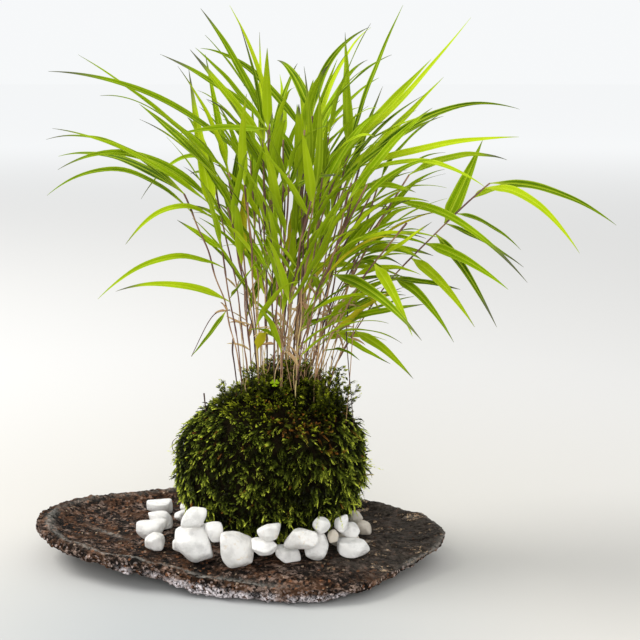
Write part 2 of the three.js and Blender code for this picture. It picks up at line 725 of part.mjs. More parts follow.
// Bases of the tufts, spread evenly over the clump like seeds in a flower head.
function tuftBase(index) {
  const reach = Math.sqrt((index + 0.5) / TUFTS);
  const turn = index * Math.PI * (3 - Math.sqrt(5));
  return [reach * Math.cos(turn), reach * Math.sin(turn)];
}

function stemTop(kind, u, v, draws) {
  const out = u * u + v * v;
  const across = STEM_JITTER_ACROSS * kind.jitter;
  return new THREE.Vector3(
    kind.middle + kind.spread[0] * u + draws.between(-across, across),
    kind.spread[1] * v + draws.between(-across, across),
    kind.height - kind.fall * out + draws.between(-1, 1) * kind.jitter,
  );
}

function stemBetween(foot, top) {
  const rise = top.clone().sub(foot);
  const bend = new THREE.Vector3(STEM_KNEE[0], STEM_KNEE[0], STEM_KNEE[1]);
  const knee = foot.clone().add(rise.clone().multiply(bend));
  const curve = new THREE.QuadraticBezierCurve3(foot, knee, top);
  const length = foot.distanceTo(top);
  return { curve, side: new THREE.Vector3(0, 1, 0), lean: Math.atan2(rise.y, rise.x), length };
}

function stemFrame(stem, t) {
  return limbFrame(stem.curve, stem.side, t, 0, THREE.MathUtils.lerp(...STEM_RADIUS, t));
}

function stemSamples(stem) {
  const steps = Math.ceil(stem.length / LEAF_TEST_STEP);
  const samples = [];
  for (let i = 1; i <= steps; i += 1) {
    samples.push({ point: stem.curve.getPoint(i / steps), nearRoot: i / steps < STEM_ROOT_SHARE });
  }
  return samples;
}

// Turns a row of three-point rings so that their points carry on from those of another ring.
function carryOn(rings, before) {
  const away = [0, 1, 2].map((shift) => before.reduce(
    (sum, point, k) => sum + point.distanceTo(rings[0][(k + shift) % 3]),
    0,
  ));
  const shift = away.indexOf(Math.min(...away));
  return rings.map((ring) => ring.map((point, k) => ring[(k + shift) % 3]));
}

// A stem with its root end, where it has one, and the blade that it ends in.
function stemSolid(stem) {
  const rings = STEM_STATIONS.map((t) => {
    const { point, across, face, half } = stemFrame(stem, t);
    return ringAround(point, across, face, half, STEM_SIDES);
  });
  const blade = stem.blade ? carryOn(leafRings(stem.blade).slice(1), rings[rings.length - 1]) : [];
  if (stem.isRooted) {
    const end = stem.ground - ROOT_DEPTH;
    rings.unshift(rings[0].map(({ x, y }) => new THREE.Vector3(x, y, end)));
  }
  return loft([...rings, ...blade], stem.blade && stem.blade.curve.getPoint(1));
}

// Grows one stem; its top is drawn again while it would cross a stem that stands.
function growStem(tuft, kind, foot, thicket, index) {
  const draws = new Draws(SEEDS.stem + index);
  const owner = { stem: index, tuft: tuft.index };
  for (let i = 0; i < STEM_DRAWS; i += 1) {
    const drawn = stemTop(kind, tuft.u, tuft.v, draws);
    const top = tuft.isFurthest && kind === LEANING_STEM && i === 0 ? REACHING_STEM_TOP : drawn;
    const stem = stemBetween(foot, top);
    if (thicket.isClear(stemSamples(stem), owner)) {
      thicket.add(STEM_STATIONS.map((t) => stemFrame(stem, t)), owner);
      return { ...stem, owner, ground: tuft.ground, isRooted: kind === UPRIGHT_STEM, leaves: [] };
    }
  }
  return null;
}

function fitsIn(leaf, stem, thicket, stays) {
  const samples = leafSamples(leaf);
  if (!staysInSpread(samples) || !stays(samples) || !thicket.isClear(samples, stem.owner)) {
    return false;
  }
  thicket.add(LEAF_STATIONS.map((t) => leafFrame(leaf, t)), { stem: -1, tuft: stem.owner.tuft });
  return true;
}

function addLeaf(stem, leaf, thicket, stays) {
  if (!fitsIn(leaf, stem, thicket, stays)) {
    return false;
  }
  stem.leaves.push(leaf);
  return true;
}

// The place on a stem that lies nearest to a point, weighing depth less.
function nearestPlace(stem, point) {
  let best = { away: Infinity };
  for (let i = LOWEST_PLACE; i <= PLACE_STEPS; i += 1) {
    const place = stem.curve.getPoint(i / PLACE_STEPS);
    const offset = place.clone().sub(point);
    offset.y *= DEPTH_WEIGHT;
    const away = offset.length();
    if (away < best.away) {
      best = { away, stem, place };
    }
  }
  return best;
}

// The nearest places on the few stems that come closest to a point, the closest first.
function nearestPlaces(stems, point) {
  const places = stems.map((stem) => nearestPlace(stem, point));
  return places.sort((a, b) => a.away - b.away).slice(0, STEMS_TRIED);
}

// The outline leaves may lie anywhere in the clump's spread.
function growOuterLeaves(stems, thicket) {
  OUTER_LEAVES.forEach(([root, tip, lift, width], index) => {
    const draws = new Draws(SEEDS.outerLeaf + index);
    const turn = draws.between(...LEAF_TURN);
    const places = nearestPlaces(stems, new THREE.Vector3(...root));
    places.some(({ stem, place }) => DEPTH_SHIFTS.some((shift) => {
      const end = new THREE.Vector3(tip[0], tip[1] + shift, tip[2]);
      return addLeaf(stem, archedLeaf(place, end, lift, width, turn), thicket, () => true);
    }));
  });
}

function drawFillLeaf(stem, place, side, draws) {
  const height = (place.z - FILL_CLIMB.low) / (FILL_CLIMB.high - FILL_CLIMB.low);
  const out = (place.x - CLUMP_X) / FILL_SINK.reach;
  const sink = (out > 0 ? FILL_SINK.right : FILL_SINK.left) * Math.min(1, Math.abs(out));
  const climb = THREE.MathUtils.lerp(FILL_CLIMB.lowest, FILL_CLIMB.highest, height) - sink
    + draws.between(-FILL_CLIMB.jitter, FILL_CLIMB.jitter);
  const heading = stem.lean + side * draws.between(...FILL_SWING);
  const length = draws.between(...FILL_LENGTH);
  const level = length * Math.cos(climb);
  const tip = new THREE.Vector3(
    place.x + level * Math.cos(heading),
    place.y + level * Math.sin(heading),
    place.z + length * Math.sin(climb),
  );
  const lift = length * draws.between(...FILL_ARCH);
  return archedLeaf(place, tip, lift, draws.between(...FILL_WIDTH), draws.between(...FILL_TURN));
}

function drawBlade(stem, draws) {
  const place = stem.curve.getPoint(1);
  const length = draws.between(...FILL_LENGTH);
  const crown = place.clone().addScaledVector(stem.curve.getTangent(1), BLADE_CROWN * length);
  const heading = stem.lean + draws.between(-BLADE_SWING, BLADE_SWING);
  const climb = draws.between(...BLADE_CLIMB);
  const level = (1 - BLADE_CROWN) * length * Math.cos(climb);
  const tip = new THREE.Vector3(
    crown.x + level * Math.cos(heading),
    crown.y + level * Math.sin(heading),
    crown.z + (1 - BLADE_CROWN) * length * Math.sin(climb),
  );
  return bentLeaf(place, crown, tip, draws.between(...FILL_WIDTH), draws.between(...FILL_TURN));
}

// The blade in which each stem ends, where there is room for one.
function growBlades(stems, thicket) {
  stems.forEach((stem, index) => {
    const draws = new Draws(SEEDS.blade + index);
    for (let i = 0; i < FILL_DRAWS && !stem.blade; i += 1) {
      const blade = drawBlade(stem, draws);
      if (fitsIn(blade, stem, thicket, staysInRoom)) {
        stem.blade = blade;
      }
    }
  });
}

// Leaves along each stem, to one side and the other in turn.
function growFillLeaves(stems, thicket) {
  stems.forEach((stem, index) => {
    NODE_SHARES.forEach((share, node) => {
      const draws = new Draws(SEEDS.fillLeaf + 10 * index + node);
      const side = (index + node) % 2 ? 1 : -1;
      const place = stem.curve.getPoint(share);
      for (let i = 0; i < FILL_DRAWS; i += 1) {
        if (addLeaf(stem, drawFillLeaf(stem, place, side, draws), thicket, staysInRoom)) {
          return;
        }
      }
    });
  });
}

function layOutTufts() {
  const tufts = [];
  for (let index = 0; index < TUFTS; index += 1) {
    const [u, v] = tuftBase(index);
    const x = CLUMP_X + CLUMP_HALF[0] * u;
    const y = CLUMP_HALF[1] * v;
    tufts.push({ index, u, v, x, y, ground: skinHeight(x, y) });
  }
  const furthest = Math.max(...tufts.map((tuft) => tuft.x));
  tufts.forEach((tuft) => {
    tuft.isFurthest = tuft.x === furthest;
  });
  return tufts;
}

function growStems(tufts, thicket) {
  const upright = tufts.map((tuft) => {
    const foot = new THREE.Vector3(tuft.x, tuft.y, tuft.ground + STEM_CLEAR_OF_MOSS);
    return growStem(tuft, UPRIGHT_STEM, foot, thicket, tuft.index);
  });
  const leaning = tufts.map((tuft) => {
    const foot = upright[tuft.index].curve.getPoint(BRANCH_SHARE);
    return growStem(tuft, LEANING_STEM, foot, thicket, TUFTS + tuft.index);
  });
  return [...upright, ...leaning.filter((stem) => stem)];
}

function growGrass(tufts) {
  const thicket = new Thicket();
  MOSS_SHOOTS.forEach((shoot) => thicket.add(shootFrames(shoot), { stem: -1, tuft: -1 }));
  const stems = growStems(tufts, thicket);
  growOuterLeaves(stems, thicket);
  growBlades(stems, thicket);
  growFillLeaves(stems, thicket);
  return stems;
}

function tuftSolid(tuft, stems) {
  const own = stems.filter((stem) => stem.owner.tuft === tuft.index);
  return wasm.Manifold.union(own.flatMap((stem) => [stemSolid(stem), ...stem.leaves.map(leafSolid)]));
}

function tuftHole(tuft) {
  const low = tuft.ground - ROOT_DEPTH - SEAT_GAP;
  const high = tuft.ground + HOLE_HEADROOM;
  return uprightPrism(tuft.x, tuft.y, low, high, HOLE_RADIUS, HOLE_SIDES);
}

// Assembly

const STONE = () => finish(0x46342c, 0.9);
const PEBBLE = () => finish(0xf2efe8, 0.55);
const SOIL = () => finish(0x3a2a1e, 1);
const MOSS = () => finish(0x55701c, 0.95);
const CAP_MOSS = () => finish(0x3f4f16, 0.95);
const GRASS = () => finish(0x86b32a, 0.6);

function numbered(name, index) {
  return `${name}_${String(index + 1).padStart(2, '0')}`;
}

function buildKokedama() {
  const kokedama = new THREE.Group();
  kokedama.name = 'kokedama';
  const tray = trayShell();
  const moss = mossShell();
  const tufts = layOutTufts();
  const holes = wasm.Manifold.union(tufts.map(tuftHole));
  const hollow = ballSolid(SOIL_DETAIL, MOSS_THICKNESS - SEAT_GAP);
  const skin = solidOf(moss.points, moss.triangles).subtract(hollow);
  const wrap = skin.subtract(capColumn(0)).subtract(groundBlock());
  const patch = wasm.Manifold.union([skin, ...MOSS_SHOOTS.map(shootSolid)]).subtract(hollow);
  const cap = patch.intersect(capColumn(SEAT_GAP)).subtract(holes);
  const soil = ballSolid(SOIL_DETAIL, MOSS_THICKNESS).subtract(holes);

  kokedama.add(meshOf('stone_tray', solidOf(tray.points, tray.triangles), STONE()));
  kokedama.add(meshOf('soil_root_ball', soil, SOIL()));
  kokedama.add(meshOf('moss_wrap', wrap, MOSS()));
  kokedama.add(meshOf('moss_cap', cap, CAP_MOSS()));

  layPebbles(tray, moss).forEach((pebble, index) => {
    const points = pebble.points.map((point) => point.clone());
    const mesh = meshOf(numbered('pebble', index), solidOf(points, pebble.triangles), PEBBLE());
    mesh.position.copy(pebble.place);
    kokedama.add(mesh);
  });

  const stems = growGrass(tufts);
  tufts.forEach((tuft) => {
    kokedama.add(meshOf(numbered('grass_tuft', tuft.index), tuftSolid(tuft, stems), GRASS()));
  });
  return kokedama;
}

export default buildKokedama();
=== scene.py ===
"""Looks of a kokedama: forest grass in a ball of moss, on a stone tray among white pebbles.

The grass follows the same rule as the solids: stems and leaves are laid out from seeded draws
and kept clear of each other. Lengths are millimetres until a mesh is made, +Z is up and the
front looks towards -Y.
"""

from __future__ import annotations

import logging
import math
from dataclasses import dataclass, field
from enum import Enum
from functools import reduce
from itertools import product
from typing import Callable, Sequence

import bmesh
import bpy
import numpy as np
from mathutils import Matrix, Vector, noise


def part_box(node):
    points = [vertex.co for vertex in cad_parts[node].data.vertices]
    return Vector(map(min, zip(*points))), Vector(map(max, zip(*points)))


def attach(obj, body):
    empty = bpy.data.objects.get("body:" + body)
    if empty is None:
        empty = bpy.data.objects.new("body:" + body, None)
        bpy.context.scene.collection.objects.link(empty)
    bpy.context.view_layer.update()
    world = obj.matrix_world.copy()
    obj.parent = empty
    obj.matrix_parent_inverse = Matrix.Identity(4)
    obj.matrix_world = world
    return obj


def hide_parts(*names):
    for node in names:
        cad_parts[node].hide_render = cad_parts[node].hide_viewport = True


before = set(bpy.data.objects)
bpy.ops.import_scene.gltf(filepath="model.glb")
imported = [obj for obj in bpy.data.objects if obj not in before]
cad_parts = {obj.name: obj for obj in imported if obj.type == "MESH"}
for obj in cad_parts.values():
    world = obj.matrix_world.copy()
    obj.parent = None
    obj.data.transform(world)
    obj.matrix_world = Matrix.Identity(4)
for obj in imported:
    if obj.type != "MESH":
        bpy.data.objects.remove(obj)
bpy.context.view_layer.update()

LOG = logging.getLogger("kokedama")
MM = 0.001
UP = np.array([0.0, 0.0, 1.0])

Array = np.ndarray
Dice = np.random.Generator
Material = bpy.types.Material
Socket = bpy.types.NodeSocket
Span = tuple[float, float]
Triple = tuple[float, float, float]
Frames = tuple[Array, Array, Array]


class Slot(Enum):
    """Material slots of the record."""

    TRAY = "tray_stone"
    WHITE_PEBBLE = "white_pebble"
    BEIGE_PEBBLE = "beige_pebble"
    SIDE_MOSS = "side_moss"
    TOP_MOSS = "top_moss"
    GRASS = "grass"


class Seed(Enum):
    """Seeds of the draws of each kind of piece."""

    PEBBLE = 101
    OUTER_LEAF = 300
    STEM = 900
    BLADE = 4000
    FILL_LEAF = 5000
    INNER_LEAF = 5600
    LEAF_LOOK = 6300
    CULM_LOOK = 8000
    STRAW = 8200
    SHRED = 8400
    MOSS = 9000
    TOP_MOSS = 9001


class Skin(Enum):
    """Which of the grass materials a form shows."""

    BLADE = 0
    CULM = 1


# Random draws and small vector helpers


class Draws:
    """A repeatable run of numbers from a seed, the same as the solids use."""

    MASK = 0xFFFFFFFF
    STRIDE = 0x6D2B79F5

    def __init__(self, seed: int) -> None:
        """Starts the run.

        Args:
            seed: Any whole number.
        """
        self.state = seed & self.MASK

    def next(self) -> float:
        """Gives the next number of the run.

        Returns:
            A number from 0 up to 1.
        """
        self.state = (self.state + self.STRIDE) & self.MASK
        mixed = ((self.state ^ (self.state >> 15)) * (self.state | 1)) & self.MASK
        turned = (mixed + (mixed ^ (mixed >> 7)) * (mixed | 61)) & self.MASK
        mixed = turned ^ mixed
        return ((mixed ^ (mixed >> 14)) & self.MASK) / (self.MASK + 1)

    def between(self, low: float, high: float) -> float:
        """Gives the next number of the run, spread from low to high."""
        return low + (high - low) * self.next()


def smooth_step(share: Array | float) -> Array:
    """Gives a share eased in and out, held between 0 and 1."""
    clipped = np.clip(share, 0.0, 1.0)
    return clipped * clipped * (3 - 2 * clipped)


def unit(vectors: Array) -> Array:
    """Gives vectors of length one along the last axis."""
    return vectors / np.linalg.norm(vectors, axis=-1, keepdims=True)


def lerp(low: float, high: float, share: Array | float) -> Array | float:
    """Gives the value at a share of the way from low to high."""
    return (1 - share) * low + share * high


def bell(away: Array, width: float) -> Array:
    """Gives 1 where away is 0, falling off to both sides over a width."""
    return np.exp(-((away / width) ** 2))


def towards(turn: float, climb: float = 0.0) -> Array:
    """Gives the unit direction at a turn about +Z and a climb over level."""
    level = math.cos(climb)
    return np.array([level * math.cos(turn), level * math.sin(turn), math.sin(climb)])


def cloud_noise(points: Array, scale: float, octaves: int = 3) -> Array:
    """Gives soft random values in space.

    Args:
        points: Places in millimetres, along the last axis.
        scale: Size of the largest lumps, in millimetres.
        octaves: How many finer layers are added.

    Returns:
        One value a point, about -1 to 1.
    """
    rows = (points / scale).reshape(-1, 3).tolist()
    values = [noise.fractal(row, 0.9, 2.0, octaves) for row in rows]
    return np.array(values).reshape(points.shape[:-1])


GOLDEN_TURN = math.pi * (3 - math.sqrt(5))


def even_directions(count: int) -> Array:
    """Spreads unit directions evenly over a sphere.

    Args:
        count: How many directions.

    Returns:
        One direction a row.
    """
    steps = np.arange(count)
    rise = 1 - 2 * (steps + 0.5) / count
    turn = steps * GOLDEN_TURN
    level = np.sqrt(1 - rise * rise)
    return np.stack([level * np.cos(turn), level * np.sin(turn), rise], axis=1)


def grid_faces(rows: int, columns: int, closed: bool = False) -> Array:
    """Gives the four-sided faces between rows of points.

    Args:
        rows: How many rows of points.
        columns: How many points a row.
        closed: Whether the last column joins the first.

    Returns:
        One face of four point numbers a row.
    """
    across = columns if closed else columns - 1
    row, column = np.meshgrid(np.arange(rows - 1), np.arange(across), indexing="ij")
    here = row * columns + column
    beside = row * columns + (column + 1) % columns
    return np.stack([here, beside, beside + columns, here + columns], axis=-1).reshape(-1, 4)


def globe(fineness: int) -> tuple[Array, Array]:
    """Gives a ball of even three-sided faces.

    Args:
        fineness: How many times its faces are split.

    Returns:
        Unit directions and faces of three direction numbers.
    """
    shape = bmesh.new()
    bmesh.ops.create_icosphere(shape, subdivisions=fineness, radius=1.0)
    directions = unit(np.array([v.co[:] for v in shape.verts]))
    faces = np.array([[v.index for v in f.verts] for f in shape.faces])
    shape.free()
    return directions, faces


@dataclass
class Pile:
    """Points, faces and traits of everything that goes into one mesh."""

    points: list[Array] = field(default_factory=list)
    faces: list[Array] = field(default_factory=list)
    finishes: list[Array] = field(default_factory=list)
    traits: dict[str, list[Array]] = field(default_factory=dict)
    count: int = 0

    def add(self, points: Array, faces: Array, finish: int = 0, **traits: object) -> None:
        """Adds one more form.

        Args:
            points: Its points in millimetres.
            faces: Its faces, three or four point numbers a row.
            finish: Number of the material that it shows.
            **traits: Values for its material, one for all points or one a point.
        """
        self.points.append(points)
        self.faces.append(faces + self.count)
        self.finishes.append(np.full(len(faces), finish))
        for name, value in traits.items():
            values = np.broadcast_to(np.asarray(value, dtype=float), (len(points),))
            self.traits.setdefault(name, []).append(values)
        self.count += len(points)

    def sheet(self, upper: Array, under: Array, skin: Skin, **traits: object) -> None:
        """Adds a thin sheet, closed by an upper and an under side.

        Args:
            upper: Points of its upper side, by row and column.
            under: Points of its under side.
            skin: Which material it shows.
            **traits: Values for its material.
        """
        faces = grid_faces(*upper.shape[:2])
        self.add(upper.reshape(-1, 3), faces, skin.value, under=0.0, **traits)
        self.add(under.reshape(-1, 3), faces[:, [0, 3, 2, 1]], skin.value, under=1.0, **traits)

    def tube(self, frames: Frames, radius: Array, sides: int, **traits: object) -> None:
        """Adds a closed tube that follows a row of frames, in the culm's material.

        Args:
            frames: The frames' points, directions across and directions out of the face.
            radius: Radius at each frame.
            sides: How many sides it has.
            **traits: Values for its material, one for all or one a frame.
        """
        points, across, face = frames
        around = np.arange(sides)
        turn = 2 * math.pi * around / sides
        ring = across[:, None] * np.cos(turn)[None, :, None] + face[:, None] * np.sin(turn)[None, :, None]
        body = (points[:, None] + ring * radius[:, None, None]).reshape(-1, 3)
        rows = len(points)
        beside = (around + 1) % sides
        top = (rows - 1) * sides
        caps = (
            np.stack([np.full(sides, rows * sides), beside, around], axis=1),
            np.stack([np.full(sides, rows * sides + 1), top + around, top + beside], axis=1),
        )
        spread = {}
        for name, value in traits.items():
            values = np.broadcast_to(np.asarray(value, dtype=float), (rows,))
            spread[name] = np.concatenate([np.repeat(values, sides), values[[0, -1]]])
        start = self.count
        body = np.vstack([body, points[[0, -1]]])
        self.add(body, grid_faces(rows, sides, True), Skin.CULM.value, under=0.0, **spread)
        for cap in caps:
            self.close(cap + start, Skin.CULM.value)

    def close(self, faces: Array, finish: int = 0) -> None:
        """Adds faces between points that are there already."""
        self.faces.append(faces)
        self.finishes.append(np.full(len(faces), finish))

    def mesh(self, name: str) -> bpy.types.Mesh:
        """Makes the mesh.

        Args:
            name: Name of the mesh.

        Returns:
            The mesh, in metres.
        """
        mesh = bpy.data.meshes.new(name)
        points = np.concatenate(self.points) * MM
        corners = np.concatenate([rows.reshape(-1) for rows in self.faces])
        sides = np.concatenate([np.full(len(rows), rows.shape[1]) for rows in self.faces])
        mesh.vertices.add(len(points))
        mesh.vertices.foreach_set("co", points.astype(np.float32).ravel())
        mesh.loops.add(len(corners))
        mesh.loops.foreach_set("vertex_index", corners.astype(np.int32))
        mesh.polygons.add(len(sides))
        starts = np.concatenate([[0], np.cumsum(sides)[:-1]])
        mesh.polygons.foreach_set("loop_start", starts.astype(np.int32))
        finishes = np.concatenate(self.finishes)
        mesh.polygons.foreach_set("material_index", finishes.astype(np.int32))
        mesh.polygons.foreach_set("use_smooth", np.full(len(sides), True))
        for trait, rows in self.traits.items():
            layer = mesh.attributes.new(trait, "FLOAT", "POINT")
            layer.data.foreach_set("value", np.concatenate(rows).astype(np.float32))
        mesh.update(calc_edges=True)
        mesh.validate()
        return mesh


def new_object(name: str, data: bpy.types.ID) -> bpy.types.Object:
    """Puts a new object into the scene and gives it."""
    thing = bpy.data.objects.new(name, data)
    bpy.context.scene.collection.objects.link(thing)
    return thing


def show(pile: Pile, name: str, finishes: Sequence[Material], slot: Slot, *nodes: str) -> None:
    """Puts a pile into the scene as one piece of the object.

    Args:
        pile: What the piece is made of.
        name: Name of the piece.
        finishes: Materials, in the order of the pile's finish numbers.
        slot: Material slot of the record; not used.
        *nodes: Nodes that the piece stands for.
    """
    mesh = pile.mesh(name)
    for finish in finishes:
        mesh.materials.append(finish)
    piece = new_object(name, mesh)
    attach(piece, "root")
    if nodes:
        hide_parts(*nodes)
    LOG.info("%s: %d faces", name, len(mesh.polygons))


# Finishes


class Surface:
    """A material whose nodes are laid out in code."""

    def __init__(self, name: str) -> None:
        """Starts with one Principled shader.

        Args:
            name: Name of the material.
        """
        self.material = bpy.data.materials.new(name)
        self.material.use_nodes = True
        self.tree = self.material.node_tree
        self.shader = self.tree.nodes["Principled BSDF"]
        self.output = self.tree.nodes["Material Output"]
        self.place = self.add("ShaderNodeTexCoord").outputs["Object"]

    def add(self, kind: str, inputs: dict | None = None, **settings: object) -> bpy.types.Node:
        """Adds a node.

        Args:
            kind: What kind of node it is.
            inputs: Values or sockets for its inputs, by name or number.
            **settings: The node's own settings.

        Returns:
            The node.
        """
        node = self.tree.nodes.new(kind)
        for name, value in settings.items():
            setattr(node, name, value)
        for name, value in (inputs or {}).items():
            self.feed(node.inputs[name], value)
        return node

    def feed(self, socket: Socket, value: object) -> None:
        """Links a socket to another or sets its value."""
        if isinstance(value, Socket):
            self.tree.links.new(value, socket)
        else:
            socket.default_value = value

    def trait(self, name: str) -> Socket:
        """Gives a value that the mesh holds at its points."""
        return self.add("ShaderNodeAttribute", attribute_name=name).outputs["Fac"]

    def maths(self, operation: str, first: object, second: object = 0.0) -> Socket:
        """Gives the outcome of a sum on two values, held between 0 and 1."""
        inputs = {0: first, 1: second}
        return self.add("ShaderNodeMath", inputs, operation=operation, use_clamp=True).outputs[0]

    def times(self, first: object, second: object) -> Socket:
        """Gives the product of two values."""
        return self.maths("MULTIPLY", first, second)

    def plus(self, first: object, second: object) -> Socket:
        """Gives the sum of two values."""
        return self.maths("ADD", first, second)

    def rest(self, value: object) -> Socket:
        """Gives what a value leaves of one."""
        return self.maths("SUBTRACT", 1.0, value)

    def stretched(self, stretch: Triple) -> Socket:
        """Gives the place on the object, scaled along each axis."""
        inputs = {"Vector": self.place, "Scale": stretch}
        return self.add("ShaderNodeMapping", inputs).outputs["Vector"]

    def grain(
        self,
        size: float,
        detail: float = 3.0,
        roughness: float = 0.55,
        place: Socket | None = None,
    ) -> Socket:
        """Gives a soft random pattern.

        Args:
            size: Size of its lumps in millimetres.
            detail: How many finer layers it has.
            roughness: How strong the finer layers are.
            place: Coordinates, the object's own where none are given.

        Returns:
            The pattern's value.
        """
        inputs = {
            "Vector": place or self.place,
            "Scale": 1 / (size * MM),
            "Detail": detail,
            "Roughness": roughness,
        }
        return self.add("ShaderNodeTexNoise", inputs).outputs["Fac"]

    def cells(self, size: float, reading: str = "Color") -> Socket:
        """Gives a random value, or else the Distance, in grains of a size in millimetres."""
        inputs = {"Vector": self.place, "Scale": 1 / (size * MM)}
        return self.add("ShaderNodeTexVoronoi", inputs).outputs[reading]

    def ramp(self, value: object, *stops: tuple[float, Triple]) -> Socket:
        """Turns a value into colours.

        Args:
            value: The socket that is read.
            *stops: Places from 0 to 1, each with its colour.

        Returns:
            The colour.
        """
        node = self.add("ShaderNodeValToRGB", {"Fac": value})
        marks = node.color_ramp.elements
        while len(marks) < len(stops):
            marks.new(1.0)
        for mark, (place, colour) in zip(marks, stops):
            mark.position = place
            mark.color = (*colour, 1.0)
        return node.outputs["Color"]

    def band(self, value: object, low: float, high: float) -> Socket:
        """Gives 0 below low and 1 above high, eased between them."""
        inputs = {"Value": value, "From Min": low, "From Max": high}
        node = self.add("ShaderNodeMapRange", inputs, interpolation_type="SMOOTHSTEP")
        return node.outputs["Result"]

    def tint(self, colour: object, shade: object, *shares: object) -> Socket:
        """Lays a second colour over a first.

        Args:
            colour: The first colour, or a socket.
            shade: The second colour, or a socket.
            *shares: Values whose product tells how much of the second shows.

        Returns:
            The colour.
        """
        node = self.add("ShaderNodeMix", data_type="RGBA")
        self.feed(node.inputs[0], reduce(self.times, shares))
        for socket, value in ((node.inputs[6], colour), (node.inputs[7], shade)):
            self.feed(socket, (*value, 1.0) if isinstance(value, tuple) else value)
        return node.outputs[2]

    def bump(self, height: object, depth: float) -> None:
        """Roughens the surface by a height of a depth in millimetres."""
        node = self.add("ShaderNodeBump", {"Height": height, "Distance": depth * MM})
        self.feed(self.shader.inputs["Normal"], node.outputs["Normal"])

    def dress(self, colour: object, roughness: object, gloss: float) -> Material:
        """Sets the shader.

        Args:
            colour: The surface's colour.
            roughness: How dull it is.
            gloss: Its specular level.

        Returns:
            The finished material.
        """
        self.feed(self.shader.inputs["Base Color"], colour)
        self.feed(self.shader.inputs["Roughness"], roughness)
        self.shader.inputs["Specular IOR Level"].default_value = gloss
        return self.material

    def let_light_through(self, colour: object, share: float) -> None:
        """Lets some light through a thin leaf.

        Args:
            colour: Colour of the light that comes through.
            share: How much of the light that is.
        """
        through = self.add("ShaderNodeBsdfTranslucent", {"Color": colour})
        normal = self.shader.inputs["Normal"]
        if normal.is_linked:
            self.feed(through.inputs["Normal"], normal.links[0].from_socket)
        inputs = {0: share, 1: self.shader.outputs[0], 2: through.outputs[0]}
        mixed = self.add("ShaderNodeMixShader", inputs)
        self.feed(self.output.inputs["Surface"], mixed.outputs[0])


@dataclass(frozen=True)
class LeafFinish:
    """Fresh grass blade: parallel veins, a pale midrib, a paler back and dry tips."""

    shade: tuple = (0.025, 0.075, 0.001)
    fresh: tuple = (0.235, 0.385, 0.001)
    sunny: tuple = (0.5, 0.62, 0.008)
    back: tuple = (0.3, 0.41, 0.012)
    yellow: tuple = (0.56, 0.5, 0.02)
    dry: tuple = (0.66, 0.46, 0.22)
    vein: tuple = (0.54, 0.66, 0.02)
    rib: tuple = (0.6, 0.71, 0.06)
    tip: tuple = (0.13, 0.14, 0.07)
    through: tuple = (0.56, 0.7, 0.002)

    def build(self) -> Material:
        """Makes the material.

        Returns:
            The material.
        """
        leaf = Surface("fresh_grass_blade")
        across, along = leaf.trait("across"), leaf.trait("along")
        # Each leaf draws its tone at random, from a painted shaded leaf to a painted sunlit one, mottled by a
        # soft grain
        tone = leaf.plus(leaf.times(leaf.trait("tone"), 0.65), leaf.times(leaf.grain(18, 2), 0.35))
        colour = leaf.ramp(tone, (0.14, self.shade), (0.5, self.fresh), (0.86, self.sunny))
        inputs = {"W": across, "Scale": 5.5, "Detail": 1.0}
        veins = leaf.add("ShaderNodeTexNoise", inputs, noise_dimensions="1D").outputs["Fac"]
        away = leaf.maths("ABSOLUTE", across)
        colour = leaf.tint(colour, self.vein, leaf.band(veins, 0.5, 0.66), 0.6)
        # Pale margins: partly the blade's own pale edge and partly a painted highlight along the edges
        colour = leaf.tint(colour, self.rib, leaf.band(away, 0.82, 0.96), 0.6)
        colour = leaf.tint(colour, self.rib, leaf.rest(leaf.band(away, 0.03, 0.12)), 0.45)
        colour = leaf.tint(colour, self.back, leaf.trait("under"), 0.6)
        colour = leaf.tint(colour, self.rib, leaf.rest(leaf.band(along, 0.02, 0.16)), 0.55)
        age = leaf.plus(leaf.trait("age"), leaf.times(leaf.grain(9, 2), 0.25))
        colour = leaf.tint(colour, self.yellow, leaf.band(age, 0.42, 0.62))
        colour = leaf.tint(colour, self.dry, leaf.band(age, 0.82, 1.0))
        tip = leaf.times(along, leaf.trait("dryness"))
        colour = leaf.tint(colour, self.tip, leaf.band(tip, 0.66, 0.86))
        leaf.bump(veins, 0.05)
        glow = leaf.tint(self.through, self.yellow, leaf.band(age, 0.5, 0.9))
        material = leaf.dress(colour, 0.6, 0.05)
        leaf.let_light_through(leaf.tint(glow, colour, 0.5), 0.22)
        return material


@dataclass(frozen=True)
class CulmFinish:
    """Culm and dry sheath: straw, green, purple brown or near black, darker at the joints."""

    straw: tuple = (0.56, 0.4, 0.2)
    tan: tuple = (0.42, 0.25, 0.12)
    green: tuple = (0.2, 0.27, 0.03)
    purple: tuple = (0.13, 0.055, 0.045)
    black: tuple = (0.025, 0.016, 0.015)

    def build(self) -> Material:
        """Makes the material.

        Returns:
            The material.
        """
        culm = Surface("grass_culm")
        fibre = culm.grain(2.2, 3, 0.6, culm.stretched((3.0, 3.0, 0.25)))
        hue = culm.plus(culm.trait("hue"), culm.times(fibre, 0.24))
        colour = culm.ramp(
            culm.maths("SUBTRACT", hue, 0.12), (0.0, self.green), (0.22, self.straw), (0.42, self.tan),
            (0.68, self.purple), (0.95, self.black),
        )
        colour = culm.tint(colour, self.purple, culm.trait("joint"), 0.75)
        colour = culm.tint(colour, self.straw, culm.band(fibre, 0.55, 0.75), 0.35)
        culm.bump(fibre, 0.15)
        return culm.dress(colour, 0.55, 0.35)


